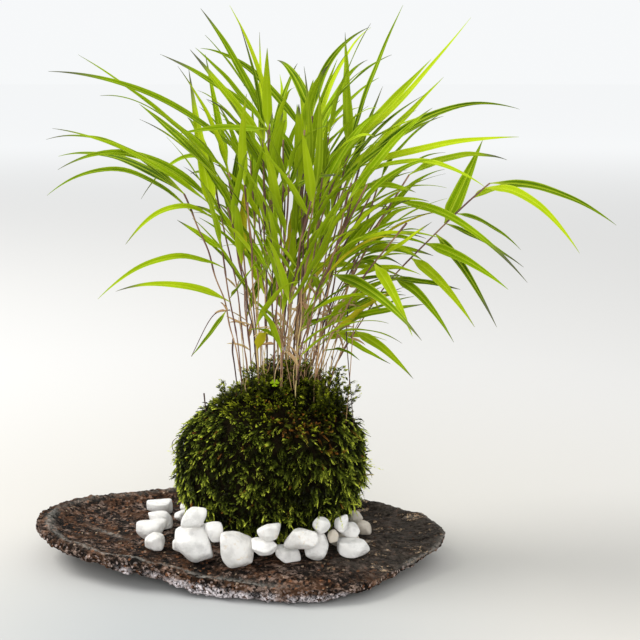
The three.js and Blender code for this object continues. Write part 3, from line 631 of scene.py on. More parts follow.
@dataclass(frozen=True)
class MossFinish:
    """Feather moss sprigs: near black at the root as painted shade deep in the moss, bright at the tip,
    partly fresh growth and partly painted light, with rusty and yellow patches.
    """

    name: str = "feather_moss"
    root: tuple = (0.001, 0.001, 0.0005)
    shade: tuple = (0.009, 0.011, 0.001)
    leafy: tuple = (0.12, 0.16, 0.015)
    bright: tuple = (0.8, 0.88, 0.1)
    rust: tuple = (0.5, 0.2, 0.04)
    gold: tuple = (0.68, 0.5, 0.04)

    def build(self) -> Material:
        """Makes the material.

        Returns:
            The material.
        """
        moss = Surface(self.name)
        tip = moss.trait("tip")
        # Colour climbs from root to tip: the near-black root is painted shade deep in the moss, the bright
        # tip partly painted light
        reach = moss.times(moss.plus(tip, 0.04), moss.plus(moss.trait("tone"), 0.15))
        colour = moss.ramp(
            reach, (0.0, self.root), (0.16, self.shade), (0.45, self.leafy), (0.95, self.bright)
        )
        # Rusty and yellow sprigs keep the painted shade at the root
        colour = moss.tint(colour, moss.tint(self.root, self.rust, tip, 0.9), moss.trait("rust"))
        colour = moss.tint(colour, moss.tint(self.shade, self.gold, tip, 0.9), moss.trait("gold"))
        material = moss.dress(colour, 0.5, 0.15)
        moss.let_light_through(colour, 0.3)
        return material


@dataclass(frozen=True)
class MossBedFinish:
    """Dark matted bed under the sprigs, painted near black as the shade deep between them."""

    dark: tuple = (0.002, 0.002, 0.001)
    brown: tuple = (0.01, 0.007, 0.004)
    green: tuple = (0.012, 0.017, 0.004)

    def build(self) -> Material:
        """Makes the material.

        Returns:
            The material.
        """
        bed = Surface("moss_bed")
        lumps = bed.grain(6, 4, 0.7)
        # All its colours are near black: the matted bed's own brown and green, darkened as painted shade
        # between the sprigs
        colour = bed.ramp(lumps, (0.3, self.dark), (0.5, self.brown), (0.68, self.green))
        bed.bump(bed.grain(1.6, 3), 1.2)
        return bed.dress(colour, 0.95, 0.0)


@dataclass(frozen=True)
class SoilFinish:
    """Dark crumbly soil."""

    dark: tuple = (0.012, 0.008, 0.005)
    brown: tuple = (0.06, 0.035, 0.018)

    def build(self) -> Material:
        """Makes the material.

        Returns:
            The material.
        """
        soil = Surface("potting_soil")
        crumbs = soil.cells(3, "Distance")
        soil.bump(crumbs, 1.0)
        return soil.dress(soil.ramp(crumbs, (0.1, self.brown), (0.6, self.dark)), 0.97, 0.1)


@dataclass(frozen=True)
class StoneFinish:
    """Dark volcanic stone with red brown grains, painted shade in its hollows, grey ridges that are partly
    worn stone and partly painted highlight, and a pale crystal band.
    """

    pit: tuple = (0.002, 0.0015, 0.001)
    dark: tuple = (0.011, 0.008, 0.006)
    brown: tuple = (0.052, 0.032, 0.023)
    plum: tuple = (0.25, 0.18, 0.145)
    rust: tuple = (0.15, 0.066, 0.03)
    red: tuple = (0.24, 0.1, 0.045)
    tan: tuple = (0.5, 0.37, 0.25)
    pink: tuple = (0.5, 0.39, 0.35)
    grey: tuple = (0.3, 0.285, 0.255)
    crystal: tuple = (0.85, 0.78, 0.8)
    slate: tuple = (0.075, 0.064, 0.053)
    slate_light: tuple = (0.4, 0.33, 0.27)
    sand: tuple = (0.52, 0.36, 0.22)

    def build(self) -> Material:
        """Makes the material.

        Returns:
            The material.
        """
        stone = Surface("volcanic_stone")
        rough, flow = stone.trait("rough"), stone.trait("flow")
        coarse = stone.grain(4, 7, 0.78, stone.stretched((0.75, 1.0, 1.0)))
        streaks = stone.grain(7, 6, 0.68, stone.stretched((0.36, 0.9, 1.0)))
        broken = stone.grain(2.6, 6, 0.8)
        # Colour follows the grain's height, which the bump also raises: near black in the hollows as painted
        # shade, lighter plum on the tops, partly the stone's grains and partly painted highlight
        height = stone.plus(stone.times(coarse, 0.8), stone.times(stone.grain(26, 3), 0.25))
        colour = stone.ramp(
            height, (0.45, self.pit), (0.5, self.dark), (0.55, self.brown), (0.62, self.plum)
        )
        patches = stone.band(stone.grain(16, 4, 0.7), 0.44, 0.62)
        colour = stone.tint(colour, self.rust, patches, rough, coarse)
        flowing = stone.ramp(
            streaks, (0.38, self.dark), (0.46, self.slate), (0.54, self.dark), (0.6, self.slate),
            (0.72, self.slate_light),
        )
        colour = stone.tint(colour, flowing, flow, 0.8)
        sand = stone.band(stone.cells(1.2), 0.6, 0.7)
        colour = stone.tint(colour, self.sand, stone.band(streaks, 0.54, 0.6), sand, flow, 0.7)
        for size, rare, strength, shade in (
            (2.2, 0.64, 0.9, self.pit), (1.8, 0.84, 0.8, self.red), (1.4, 0.9, 0.8, self.tan),
            (1.1, 0.96, 0.7, self.crystal),
        ):
            grains = stone.band(stone.cells(size), rare, rare + 0.05)
            colour = stone.tint(colour, shade, grains, rough, strength)
        specks = stone.band(stone.cells(1.4), 0.74, 0.8)
        colour = stone.tint(colour, self.pink, stone.trait("side"), specks, 0.75)
        # Grey ridge: partly worn stone and the grey flake, partly a painted highlight along the rims
        for trait, low, strength, shade in (
            ("ridge", 0.38, 0.65, self.grey), ("crystal", 0.43, 0.95, self.crystal),
        ):
            colour = stone.tint(colour, shade, stone.trait(trait), stone.band(broken, low, 0.55), strength)
        relief = stone.times(stone.plus(stone.times(coarse, 0.9), broken), rough)
        stone.bump(stone.plus(relief, stone.times(stone.times(streaks, 1.3), flow)), 2.8)
        return stone.dress(colour, stone.band(broken, -1.0, 1.2), 0.1)


@dataclass(frozen=True)
class PebbleFinish:
    """Tumbled marble: white with faint veins, some stained beige."""

    name: str = "white_marble"
    body: tuple = (0.92, 0.905, 0.875)
    cool: tuple = (0.74, 0.725, 0.7)
    stain: tuple = (0.68, 0.53, 0.33)
    stained: float = 0.1

    def build(self) -> Material:
        """Makes the material.

        Returns:
            The material.
        """
        marble = Surface(self.name)
        stain = marble.trait("stain")
        colour = marble.tint(self.body, self.cool, marble.band(marble.grain(7, 4, 0.6), 0.42, 0.68))
        colour = marble.tint(colour, self.stain, marble.band(marble.grain(5, 5, 0.7), 0.56, 0.7), stain)
        colour = marble.tint(colour, self.stain, stain, self.stained)
        marble.bump(marble.grain(2.6, 6, 0.8), 1.7)
        for name, value in (("Weight", 0.03), ("Radius", (1.0, 0.9, 0.7)), ("Scale", 0.0025)):
            marble.shader.inputs[f"Subsurface {name}"].default_value = value
        return marble.dress(colour, 0.62, 0.3)


@dataclass(frozen=True)
class FloorFinish:
    """Pale table top, painted with a bluish shadow in front of the tray and painted lighter with distance
    until it meets the white surroundings.
    """

    # near: painted bluish shadow round the middle; table, back and far: painted light, lighter with distance
    # up to the white surroundings
    near: tuple = (0.395, 0.41, 0.415)
    table: tuple = (0.55, 0.535, 0.505)
    far: tuple = (0.98, 0.98, 0.98)
    middle: tuple = (-0.05, -0.16, 0.0)
    shadow_fade: Span = (0.0, 0.3)
    back: tuple = (0.605, 0.6, 0.59)
    back_fade: Span = (0.2, 0.9)
    far_fade: Span = (0.9, 6.0)

    def build(self) -> Material:
        """Makes the material.

        Returns:
            The material.
        """
        table = Surface("pale_table_painted_shadow")
        offset = table.add("ShaderNodeVectorMath", {0: table.place, 1: self.middle}, operation="SUBTRACT")
        length = table.add("ShaderNodeVectorMath", {0: offset.outputs["Vector"]}, operation="LENGTH")
        away = length.outputs["Value"]
        # Painted shadow round the middle, then the painted fall of light out to the white surroundings
        colour = table.tint(self.near, self.table, table.band(away, *self.shadow_fade))
        colour = table.tint(colour, self.back, table.band(away, *self.back_fade))
        colour = table.tint(colour, self.far, table.band(away, *self.far_fade))
        return table.dress(colour, 0.9, 0.0)


# Soil


@dataclass(frozen=True)
class RootBall:
    """The soil inside the moss, which shows as its solid."""

    node: str = "soil_root_ball"

    def dress(self, finish: Material) -> None:
        """Gives the solid its material."""
        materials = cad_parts[self.node].data.materials
        materials.clear()
        materials.append(finish)


# Grass layout


@dataclass(frozen=True)
class Bend:
    """A curve from start to end that leans towards its crown."""

    start: Array
    crown: Array
    end: Array

    STEP = 1e-4

    def at(self, shares: Array | float) -> Array:
        """Gives the point or the points at shares of the way along the curve."""
        t = np.asarray(shares, dtype=float)[..., None]
        return (1 - t) ** 2 * self.start + 2 * (1 - t) * t * self.crown + t * t * self.end

    def along(self, shares: Array | float) -> Array:
        """Gives the curve's directions at shares of the way along it."""
        low, high = np.maximum(shares - self.STEP, 0.0), np.minimum(shares + self.STEP, 1.0)
        return unit(self.at(high) - self.at(low))

    def frames(
        self, shares: Array, side: Array, roll: Array | float
    ) -> Frames:
        """Gives the frames along the curve.

        Args:
            shares: Shares of the way along the curve.
            side: Direction that the frames turn their across towards.
            roll: How far they are rolled about the curve.

        Returns:
            The points, the directions across and the directions out of the face.
        """
        along = self.along(shares)
        level = unit(side - along * (along @ side)[:, None])
        up = np.cross(along, level)
        turn = np.broadcast_to(np.asarray(roll, dtype=float), (len(along),))[:, None]
        across = level * np.cos(turn) + up * np.sin(turn)
        return self.at(shares), across, np.cross(along, across)


@dataclass
class Leaf:
    """One blade of grass."""

    bend: Bend
    side: Array
    roll: float
    width: float
    length: float

    NECK = 0.11
    SWELL = 0.22
    TAPER = 2.6
    ROLL_AT_ROOT = 0.55

    @classmethod
    def bent(
        cls, root: Array, crown: Array, tip: Array, width: float, turn: float
    ) -> Leaf:
        """Makes a blade that leans over its crown.

        Args:
            root: Where it leaves the stem.
            crown: The point that it leans towards.
            tip: Where it ends.
            width: Its full width.
            turn: How far it shows its face to the front.

        Returns:
            The blade.
        """
        heading = math.atan2(tip[1] - root[1], tip[0] - root[0])
        side = np.array([-math.sin(heading), math.cos(heading), 0.0])
        length = float(np.linalg.norm(crown - root) + np.linalg.norm(tip - crown))
        return cls(Bend(root, crown, tip), side, turn * np.sign(math.cos(heading)), width, length)

    @classmethod
    def arched(
        cls, root: Array, tip: Array, lift: float, width: float, turn: float
    ) -> Leaf:
        """Makes a blade whose crown lies over its middle by a lift."""
        crown = (root + tip) * 0.5 + lift * UP
        return cls.bent(root, crown, tip, width, turn)

    def half_width(self, shares: Array) -> Array:
        """Gives half the blade's width at shares of its length."""
        swell = self.NECK + (1 - self.NECK) * smooth_step(shares / self.SWELL)
        return self.width / 2 * swell * (1 - shares**self.TAPER)

    def frames(self, shares: Array) -> Frames:
        """Gives the blade's frames at shares of its length."""
        return self.bend.frames(shares, self.side, self.roll * lerp(self.ROLL_AT_ROOT, 1.0, shares))


@dataclass
class Stem:
    """One culm with the leaves that it carries."""

    bend: Bend
    lean: float
    length: float
    number: int
    tuft: int
    is_rooted: bool
    leaves: list[Leaf] = field(default_factory=list)
    blade: Leaf | None = None

    SIDE = np.array([0.0, 1.0, 0.0])
    RADIUS = (1.1, 0.9)

    def frames(self, shares: Array) -> Frames:
        """Gives the culm's frames at shares of its length."""
        return self.bend.frames(shares, self.SIDE, 0.0)


class Thicket:
    """Keeps the boxes round what has grown and tests what is new against them."""

    CLEARANCE = 1.6
    KEEL = 0.9
    ROOM = 4000

    def __init__(self) -> None:
        """Starts with no boxes."""
        self.count = 0
        self.start = np.zeros((self.ROOM, 3))
        self.axes = np.zeros((self.ROOM, 3, 3))
        self.size = np.zeros((self.ROOM, 2))
        self.stem = np.zeros(self.ROOM, dtype=int)
        self.tuft = np.zeros(self.ROOM, dtype=int)

    def add(self, points: Array, across: Array, half: Array, stem: int, tuft: int) -> None:
        """Adds a box round each stretch between two frames.

        Args:
            points: Points of the frames.
            across: Their directions across.
            half: Their half widths.
            stem: Number of the stem, or -1 for a leaf.
            tuft: Number of the tuft.
        """
        for i in range(len(points) - 1):
            along = points[i + 1] - points[i]
            length = np.linalg.norm(along)
            along = along / length
            level = across[i] + across[i + 1]
            level = unit(level - along * (level @ along))
            row = self.count
            self.start[row] = points[i]
            self.axes[row] = (along, level, np.cross(along, level))
            self.size[row] = (length, max(half[i], half[i + 1]))
            self.stem[row] = stem
            self.tuft[row] = tuft
            self.count += 1

    def is_clear(self, points: Array, near_root: Array, stem: int, tuft: int) -> bool:
        """Tells whether every sample stays out of every box but its own.

        Args:
            points: The samples.
            near_root: Which of them may meet their own tuft.
            stem: Number of the stem that the limb grows on.
            tuft: Number of its tuft.

        Returns:
            True if nothing is met.
        """
        middle = points.mean(axis=0)
        reach = np.max(np.linalg.norm(points - middle, axis=1))
        rows = slice(0, self.count)
        away = np.linalg.norm(self.start[rows] - middle, axis=1)
        near = np.flatnonzero(away < reach + self.size[rows].sum(axis=1) + 4 * self.CLEARANCE)
        near = near[self.stem[near] != stem]
        offset = points[:, None, :] - self.start[near][None]
        along, across, face = np.einsum("mnk,njk->jmn", offset, self.axes[near])
        length, half = self.size[near, 0], self.size[near, 1]
        hit = (along > -self.CLEARANCE) & (along < length + self.CLEARANCE)
        hit &= (np.abs(across) < half + self.CLEARANCE) & (np.abs(face) < self.KEEL + self.CLEARANCE)
        own = near_root[:, None] & (self.tuft[near] == tuft)[None]
        return not np.any(hit & ~own)


@dataclass(frozen=True)
class StemKind:
    """How the tops of one kind of stem spread."""

    middle: float
    spread: Span
    height: float
    fall: float
    jitter: float


@dataclass(frozen=True)
class Ball:
    """The moss ball's outer skin."""

    half: Triple = (70, 67, 50)
    middle: float = 69
    squareness: float = 2.6
    lumps: tuple = ((0.018, 3, 1, 0), (0.012, 7, 0, 5))
    mound_height: float = 19
    mound_spread: float = 36
    mound_blend: float = 1.6
    clump_x: float = 13
    cap_x: float = 9
    cap_radius: float = 46
    cap_wave: float = 2.5
    cap_waves: int = 5
    floor: float = 18.3

    def mound(self, x: Array | float, y: Array | float) -> Array:
        """Gives how far the mound round the stems lifts the skin over a place."""
        away = (x - self.clump_x) ** 2 + y**2
        return self.mound_height * np.exp(-away / self.mound_spread**2)

    def height(self, x: float, y: float) -> float:
        """Gives the height of the skin over a place on the ball's top."""
        across = math.hypot(x / self.half[0], y / self.half[1])
        up = (1 - across**self.squareness) ** (1 / self.squareness)
        return self.middle + up * self.half[2] + float(self.mound(x, y))

    def skin(self, directions: Array, depth: float) -> Array:
        """Gives points of the skin.

        Args:
            directions: Unit directions from the ball's middle.
            depth: How far under the surface.

        Returns:
            One point a direction.
        """
        x, y, z = directions.T
        across = np.hypot(x / (self.half[0] - depth), y / (self.half[1] - depth))
        up = np.abs(z) / (self.half[2] - depth)
        reach = (across**self.squareness + up**self.squareness) ** (-1 / self.squareness)
        turn = np.arctan2(y, x)
        lump = 1 + sum(
            size * np.sin(waves * turn + phase + twist * z) for size, waves, phase, twist in self.lumps
        )
        points = directions * (reach * lump)[:, None]
        rise = smooth_step(z * self.mound_blend)
        points[:, 2] += self.middle + self.mound(points[:, 0], points[:, 1]) * rise
        return points

    def normals(self, directions: Array) -> Array:
        """Gives the skin's outward directions, by small steps to both sides."""
        aside = unit(np.cross(directions, np.array([0.13, 0.21, 0.97])))
        over = np.cross(directions, aside)
        here = self.skin(directions, 0.0)
        first = self.skin(unit(directions + 0.01 * aside), 0.0) - here
        second = self.skin(unit(directions + 0.01 * over), 0.0) - here
        normals = unit(np.cross(first, second))
        return normals * np.sign(np.sum(normals * directions, axis=1))[:, None]

    def is_cap(self, points: Array) -> Array:
        """Tells which points lie over the moss patch on top."""
        across, deep = points[:, 0] - self.cap_x, points[:, 1]
        edge = self.cap_radius + self.cap_wave * np.sin(self.cap_waves * np.arctan2(deep, across))
        return (np.hypot(across, deep) < edge) & (points[:, 2] > self.middle)


@dataclass
class Grass:
    """The whole clump: its tufts, stems and leaves, laid out as in the solids."""

    ball: Ball
    tufts: int = 26
    clump_half: Span = (33, 26)
    clear_of_moss: float = 1.5
    branch_share: float = 0.05
    stem_draws: int = 14
    fill_draws: int = 8
    test_step: float = 3
    joint_reach: float = 9
    upright: StemKind = StemKind(19, (66, 60), 312, 42, 12)
    leaning: StemKind = StemKind(38, (92, 84), 280, 26, 14)
    reaching_top: Triple = (156, 10, 271)
    knee: Span = (0.26, 0.5)
    leaf_turn: Span = (0.45, 1.15)
    depth_shifts: tuple = (0, 7, -7, 14, -14, 21, -21, 28, -28)
    stems_tried: int = 5
    spread_low: tuple = (-166, -128, 146)
    spread_high: tuple = (247, 128, 394)
    node_shares: tuple = (0.3, 0.42, 0.54, 0.66, 0.78, 0.9)
    fill_length: Span = (60, 112)
    fill_width: Span = (5.2, 8)
    fill_swing: Span = (0.35, 1.25)
    fill_turn: Span = (-0.3, 1)
    fill_arch: Span = (0.14, 0.3)
    fill_climb: Span = (0.7, 1.15)
    fill_heights: Span = (190, 315)
    sink_left: float = 0.1
    sink_right: float = 0.8
    sink_reach: float = 90
    # Room for the filling leaves: reach at its lowest, growth with height, furthest reach
    room_low: float = 160
    room_left: Triple = (36, 0.4, 84)
    room_right: Triple = (84, 0.4, 122)
    room_deep: Triple = (54, 0.4, 88)
    climb_jitter: float = 0.24
    inner_shares: tuple = (0.16, 0.22, 0.3, 0.36, 0.44, 0.5, 0.58, 0.64, 0.72, 0.84)
    inner_length: Span = (46, 92)
    inner_draws: int = 12
    inner_sag: Span = (0.0, 0.55)
    inner_arch: Span = (0.12, 0.34)
    blade_crown: float = 0.42
    blade_climb: Span = (0.1, 1.2)
    blade_swing: float = 0.8
    stems: list[Stem] = field(default_factory=list)
    thicket: Thicket = field(default_factory=Thicket)

    STATIONS = np.array([0, 0.12, 0.32, 0.56, 0.8, 1])
    STEM_STATIONS = np.array([0, 0.3, 0.65, 1])
    FORK_REACH = 0.3
    JITTER_ACROSS = 0.6
    SHOOT_ROOT = 3
    SHOOT_HALF = 2.4
    # Moss shoots that the stems keep clear of: x, y, height, lean outward
    SHOOTS = (
        (49, -15, 27, 3), (45, -22, 33, 2), (51, -8, 15, 4), (40, -27, 20, 1),
        (51, 2, 11, 4), (34, -31, 10, 2), (-27, -8, 9, -2), (-23, -17, 8, -2),
    )
    # Leaves that give the clump its outline: root, tip, lift of the arch, width
    OUTER_LEAVES = (
        ((9, 5, 310), (-46, 25, 391), 13, 7), ((-3, -10, 320), (-40, -5, 372), 9, 7),
        ((-7, -18, 325), (-44, -40, 363), 7, 7), ((-14, -12, 314), (-53, 15, 363), 2, 8),
        ((-21, 0, 322), (-76, 35, 360), 8, 7), ((30, 10, 299), (-47, 30, 364), 30, 8),
        ((37, 15, 319), (6, 55, 356), 17, 8), ((-26, -10, 301), (-124, -20, 359), 10, 8),
        ((-24, -18, 298), (-135, -65, 348), 30, 8), ((-22, -25, 261), (-101, -75, 333), 39, 8),
        ((-43, 5, 315), (-94, 50, 325), 3, 7), ((-24, -20, 262), (-70, -95, 320), 14, 7),
        ((-37, -15, 258), (-140, -35, 311), 19, 9), ((-49, 0, 271), (-156, 20, 301), 32, 8),
        ((-54, 10, 284), (-158, 70, 286), 24, 8), ((-41, -15, 251), (-145, -5, 281), 48, 8),
        ((-43, -22, 254), (-140, -60, 269), 46, 8), ((-1, -35, 316), (-53, -75, 309), 6, 8),
        ((-42, -5, 250), (-55, 10, 350), -10, 10), ((-40, -15, 248), (-90, -60, 237), 33, 8),
        ((-31, -10, 215), (-107, -45, 203), 34, 7), ((-25, -12, 190), (-103, -25, 200), 18, 8),
        ((-35, -10, 227), (-62, -20, 247), 1, 5), ((-37, 5, 291), (-93, 40, 257), 39, 5),
        ((-6, -20, 282), (-35, -60, 330), 8, 8), ((-2, -20, 282), (-24, -35, 330), 5, 8),
        ((27, 0, 274), (4, -35, 316), 11, 9), ((-1, -30, 257), (52, -70, 280), 15, 8),
        ((36, -15, 278), (42, -25, 321), -1, 10), ((22, -25, 246), (43, -65, 276), 4, 8),
        ((17, -25, 194), (58, -85, 292), -17, 12), ((7, -22, 187), (26, -60, 250), 4, 10),
        ((-20, -15, 195), (-2, -60, 229), 2, 7), ((-19, -15, 234), (3, -60, 215), 4, 6),
        ((19, -20, 178), (45, -60, 215), 0, 6), ((56, 0, 271), (99, -60, 271), 8, 8),
        ((59, 5, 301), (54, -5, 374), 3, 10), ((32, 5, 312), (85, -15, 359), 14, 8),
        ((65, 5, 308), (142, 25, 385), -8, 8), ((85, 20, 326), (119, 45, 357), 2, 9),
        ((87, 20, 327), (127, 60, 344), 2, 7), ((87, 20, 332), (146, 75, 324), 17, 7),
        ((75, 10, 302), (177, 20, 322), 37, 8), ((79, 5, 303), (103, -40, 319), 3, 8),
        ((58, 0, 286), (170, -20, 305), 10, 8), ((93, 15, 290), (175, 60, 284), 17, 8),
        ((119, 25, 249), (156, 55, 299), -2, 12), ((58, -5, 276), (143, -60, 275), 29, 8),
        ((156, 10, 271), (245, 5, 242), 19, 8), ((152, 8, 270), (210, -30, 229), 28, 8),
        ((142, 10, 265), (183, 45, 267), 6, 7), ((131, 15, 250), (185, 45, 219), 11, 8),
        ((101, -5, 251), (178, -30, 207), 27, 8), ((125, 10, 244), (180, 0, 213), 6, 8),
        ((104, -20, 238), (160, -65, 208), 8, 8), ((136, -10, 221), (158, -30, 176), 12, 7),
        ((93, -20, 203), (132, -35, 203), 2, 7), ((107, -20, 211), (138, -70, 184), 11, 8),
        ((100, -25, 199), (129, -55, 165), 15, 8), ((84, -40, 214), (96, -90, 182), 8, 8),
        ((79, -30, 224), (108, -80, 254), 0, 9), ((48, -20, 209), (100, -85, 184), 16, 10),
        ((51, -12, 173), (108, -30, 192), 2, 7), ((57, -15, 170), (99, -60, 147), 8, 8),
        ((52, -10, 163), (86, -20, 148), -1, 5), ((-27, -8, 184), (-52, -20, 154), -2, 4),
    )

    def grow(self) -> None:
        """Grows the stems and then the leaves, each clear of what stands.

        The inner leaves come last: the solids leave them out, as they hold fewer leaves.
        """
        for x, y, height, lean in self.SHOOTS:
            ground = self.ball.height(x, y)
            course = np.array([[x, y, ground - self.SHOOT_ROOT], [x + lean, y, ground + height]])
            across = np.tile([1.0, 0.0, 0.0], (2, 1))
            self.thicket.add(course, across, np.array([self.SHOOT_HALF, 0]), -1, -1)
        self.grow_stems()
        self.grow_outer_leaves()
        self.grow_blades()
        self.grow_side_leaves(Seed.FILL_LEAF, self.node_shares, self.fill_draws, self.draw_fill_leaf)
        self.grow_side_leaves(Seed.INNER_LEAF, self.inner_shares, self.inner_draws, self.draw_inner_leaf)

    def tuft_place(self, index: int) -> Span:
        """Gives a tuft's place in the clump, as shares of its half sizes."""
        reach = math.sqrt((index + 0.5) / self.tufts)
        turn = index * GOLDEN_TURN
        return reach * math.cos(turn), reach * math.sin(turn)

    def tuft_foot(self, index: int) -> Array:
        """Gives the point over the moss where a tuft's first culm stands."""
        u, v = self.tuft_place(index)
        x = self.ball.clump_x + self.clump_half[0] * u
        y = self.clump_half[1] * v
        return np.array([x, y, self.ball.height(x, y) + self.clear_of_moss])

    def grow_stems(self) -> None:
        """Grows two stems a tuft, the second out of the first near its foot."""
        feet = [self.tuft_foot(index) for index in range(self.tufts)]
        furthest = max(range(self.tufts), key=lambda index: feet[index][0])
        first = [self.grow_stem(i, self.upright, feet[i], i) for i in range(self.tufts)]
        second = []
        for i in range(self.tufts):
            foot = first[i].bend.at(self.branch_share)
            second.append(self.grow_stem(i, self.leaning, foot, self.tufts + i, i == furthest))
        self.stems = [stem for stem in first + second if stem]

    def grow_stem(
        self, tuft: int, kind: StemKind, foot: Array, number: int, reaches: bool = False
    ) -> Stem | None:
        """Grows one stem; its top is drawn again while it would cross another.

        Args:
            tuft: Number of the tuft.
            kind: How its top spreads.
            foot: Where it starts.
            number: Number of the stem.
            reaches: Whether it first tries the furthest top.

        Returns:
            The stem, or nothing where there is no room.
        """
        draws = Draws(Seed.STEM.value + number)
        for attempt in range(self.stem_draws):
            top = self.stem_top(kind, tuft, draws)
            if reaches and attempt == 0:
                top = np.array(self.reaching_top, dtype=float)
            rise = top - foot
            knee = foot + rise * np.array([self.knee[0], self.knee[0], self.knee[1]])
            length = float(np.linalg.norm(rise))
            lean = math.atan2(rise[1], rise[0])
            stem = Stem(Bend(foot, knee, top), lean, length, number, tuft, kind is self.upright)
            steps = math.ceil(length / self.test_step)
            shares = np.arange(1, steps + 1) / steps
            if self.thicket.is_clear(stem.bend.at(shares), shares < self.FORK_REACH, number, tuft):
                points, across, _ = stem.frames(self.STEM_STATIONS)
                self.thicket.add(points, across, lerp(*Stem.RADIUS, self.STEM_STATIONS), number, tuft)
                return stem
        return None

    def stem_top(self, kind: StemKind, tuft: int, draws: Draws) -> Array:
        """Draws the top of a stem.

        Args:
            kind: How the tops spread.
            tuft: Number of the tuft.
            draws: The stem's own draws.

        Returns:
            The point where the stem ends.
        """
        u, v = self.tuft_place(tuft)
        across = self.JITTER_ACROSS * kind.jitter
        x = kind.middle + kind.spread[0] * u + draws.between(-across, across)
        y = kind.spread[1] * v + draws.between(-across, across)
        z = kind.height - kind.fall * (u * u + v * v) + draws.between(-1, 1) * kind.jitter
        return np.array([x, y, z])

    def is_in_room(self, points: Array) -> bool:
        """Tells whether points lie in the part of the clump that the filling leaves keep to.

        Args:
            points: The points, one a row.

        Returns:
            True if all of them do.
        """
        rise = np.maximum(points[:, 2] - self.room_low, 0)
        left, right, deep = (
            np.minimum(most, base + growth * rise)
            for base, growth, most in (self.room_left, self.room_right, self.room_deep)
        )
        offset = points[:, 0] - self.ball.clump_x
        across = offset / np.where(offset < 0, left, right)
        return bool((np.hypot(across, points[:, 1] / deep) < 1).all())

    def fits(self, leaf: Leaf, stem: Stem, in_room: bool = True) -> bool:
        """Adds a leaf to the thicket where there is room for it.

        Args:
            leaf: The new leaf.
            stem: The stem that it grows on.
            in_room: Whether it keeps to the room of the filling leaves.

        Returns:
            True if there was room.
        """
        steps = math.ceil(leaf.length / self.test_step)
        shares = np.arange(1, steps + 1) / steps
        points, across, _ = leaf.frames(shares)
        half = leaf.half_width(shares)[:, None]
        samples = np.concatenate([points - across * half, points, points + across * half])
        near_root = np.tile(shares * leaf.length < self.joint_reach, 3)
        inside = (samples >= self.spread_low) & (samples <= self.spread_high)
        if not inside.all() or (in_room and not self.is_in_room(samples)):
            return False
        if not self.thicket.is_clear(samples, near_root, stem.number, stem.tuft):
            return False
        points, across, _ = leaf.frames(self.STATIONS)
        self.thicket.add(points, across, leaf.half_width(self.STATIONS), -1, stem.tuft)
        return True

    def grow_outer_leaves(self) -> None:
        """Grows the leaves of the outline from the stems that pass nearest to their roots."""
        shares = np.arange(8, 41) / 40
        places = np.stack([stem.bend.at(shares) for stem in self.stems])
        for index, (root, tip, lift, width) in enumerate(self.OUTER_LEAVES):
            turn = Draws(Seed.OUTER_LEAF.value + index).between(*self.leaf_turn)
            offset = (places - np.array(root, dtype=float)) * np.array([1.0, 0.4, 1.0])
            away = np.linalg.norm(offset, axis=-1)
            nearest = away.min(axis=1).argsort(kind="stable")[: self.stems_tried]
            for row, shift in product(nearest, self.depth_shifts):
                stem, place = self.stems[row], places[row, away[row].argmin()]
                end = np.array([tip[0], tip[1] + shift, tip[2]], dtype=float)
                leaf = Leaf.arched(place, end, lift, width, turn)
                if self.fits(leaf, stem, in_room=False):
                    stem.leaves.append(leaf)
                    break

    def draw_blade(self, stem: Stem, draws: Draws) -> Leaf:
        """Draws the blade in which a stem ends.

        Args:
            stem: The stem.
            draws: The blade's own draws.

        Returns:
            The blade.
        """
        place = stem.bend.end
        length = draws.between(*self.fill_length)
        crown = place + stem.bend.along(1.0) * self.blade_crown * length
        heading = stem.lean + draws.between(-self.blade_swing, self.blade_swing)
        climb = draws.between(*self.blade_climb)
        over = (1 - self.blade_crown) * length * towards(heading, climb)
        width = draws.between(*self.fill_width)
        return Leaf.bent(place, crown, crown + over, width, draws.between(*self.fill_turn))

    def grow_blades(self) -> None:
        """Grows the blade in which each stem ends, where there is room for one."""
        for index, stem in enumerate(self.stems):
            draws = Draws(Seed.BLADE.value + index)
            for _ in range(self.fill_draws):
                blade = self.draw_blade(stem, draws)
                if self.fits(blade, stem):
                    stem.blade = blade
                    break

    def draw_fill_leaf(self, stem: Stem, place: Array, side: int, draws: Draws) -> Leaf:
        """Draws a leaf from the side of a stem.

        Args:
            stem: The stem.
            place: Where the leaf leaves it.
            side: 1 or -1, the side of the stem.
            draws: The leaf's own draws.

        Returns:
            The leaf.
        """
        low, high = self.fill_heights
        climb = lerp(*self.fill_climb, (place[2] - low) / (high - low))
        out = (place[0] - self.ball.clump_x) / self.sink_reach
        climb -= (self.sink_right if out > 0 else self.sink_left) * min(1.0, abs(out))
        climb += draws.between(-self.climb_jitter, self.climb_jitter)
        heading = stem.lean + side * draws.between(*self.fill_swing)
        length = draws.between(*self.fill_length)
        tip = place + length * towards(heading, climb)
        lift = length * draws.between(*self.fill_arch)
        width = draws.between(*self.fill_width)
        return Leaf.arched(place, tip, lift, width, draws.between(*self.fill_turn))

    def draw_inner_leaf(self, stem: Stem, place: Array, _: int, draws: Draws) -> Leaf:
        """Draws a shorter leaf that sags, from either side of a stem.

        Args:
            stem: The stem.
            place: Where the leaf leaves it.
            _: The side whose turn it is, which these leaves don't keep to.
            draws: The leaf's own draws.

        Returns:
            The leaf.
        """
        leaf = self.draw_fill_leaf(stem, place, 1 if draws.next() > 0.5 else -1, draws)
        length = draws.between(*self.inner_length)
        sag = draws.between(*self.inner_sag)
        over = (unit(leaf.bend.end - place) - sag * UP) * length
        lift = length * draws.between(*self.inner_arch)
        return Leaf.arched(place, place + over, lift, leaf.width, draws.between(*self.fill_turn))

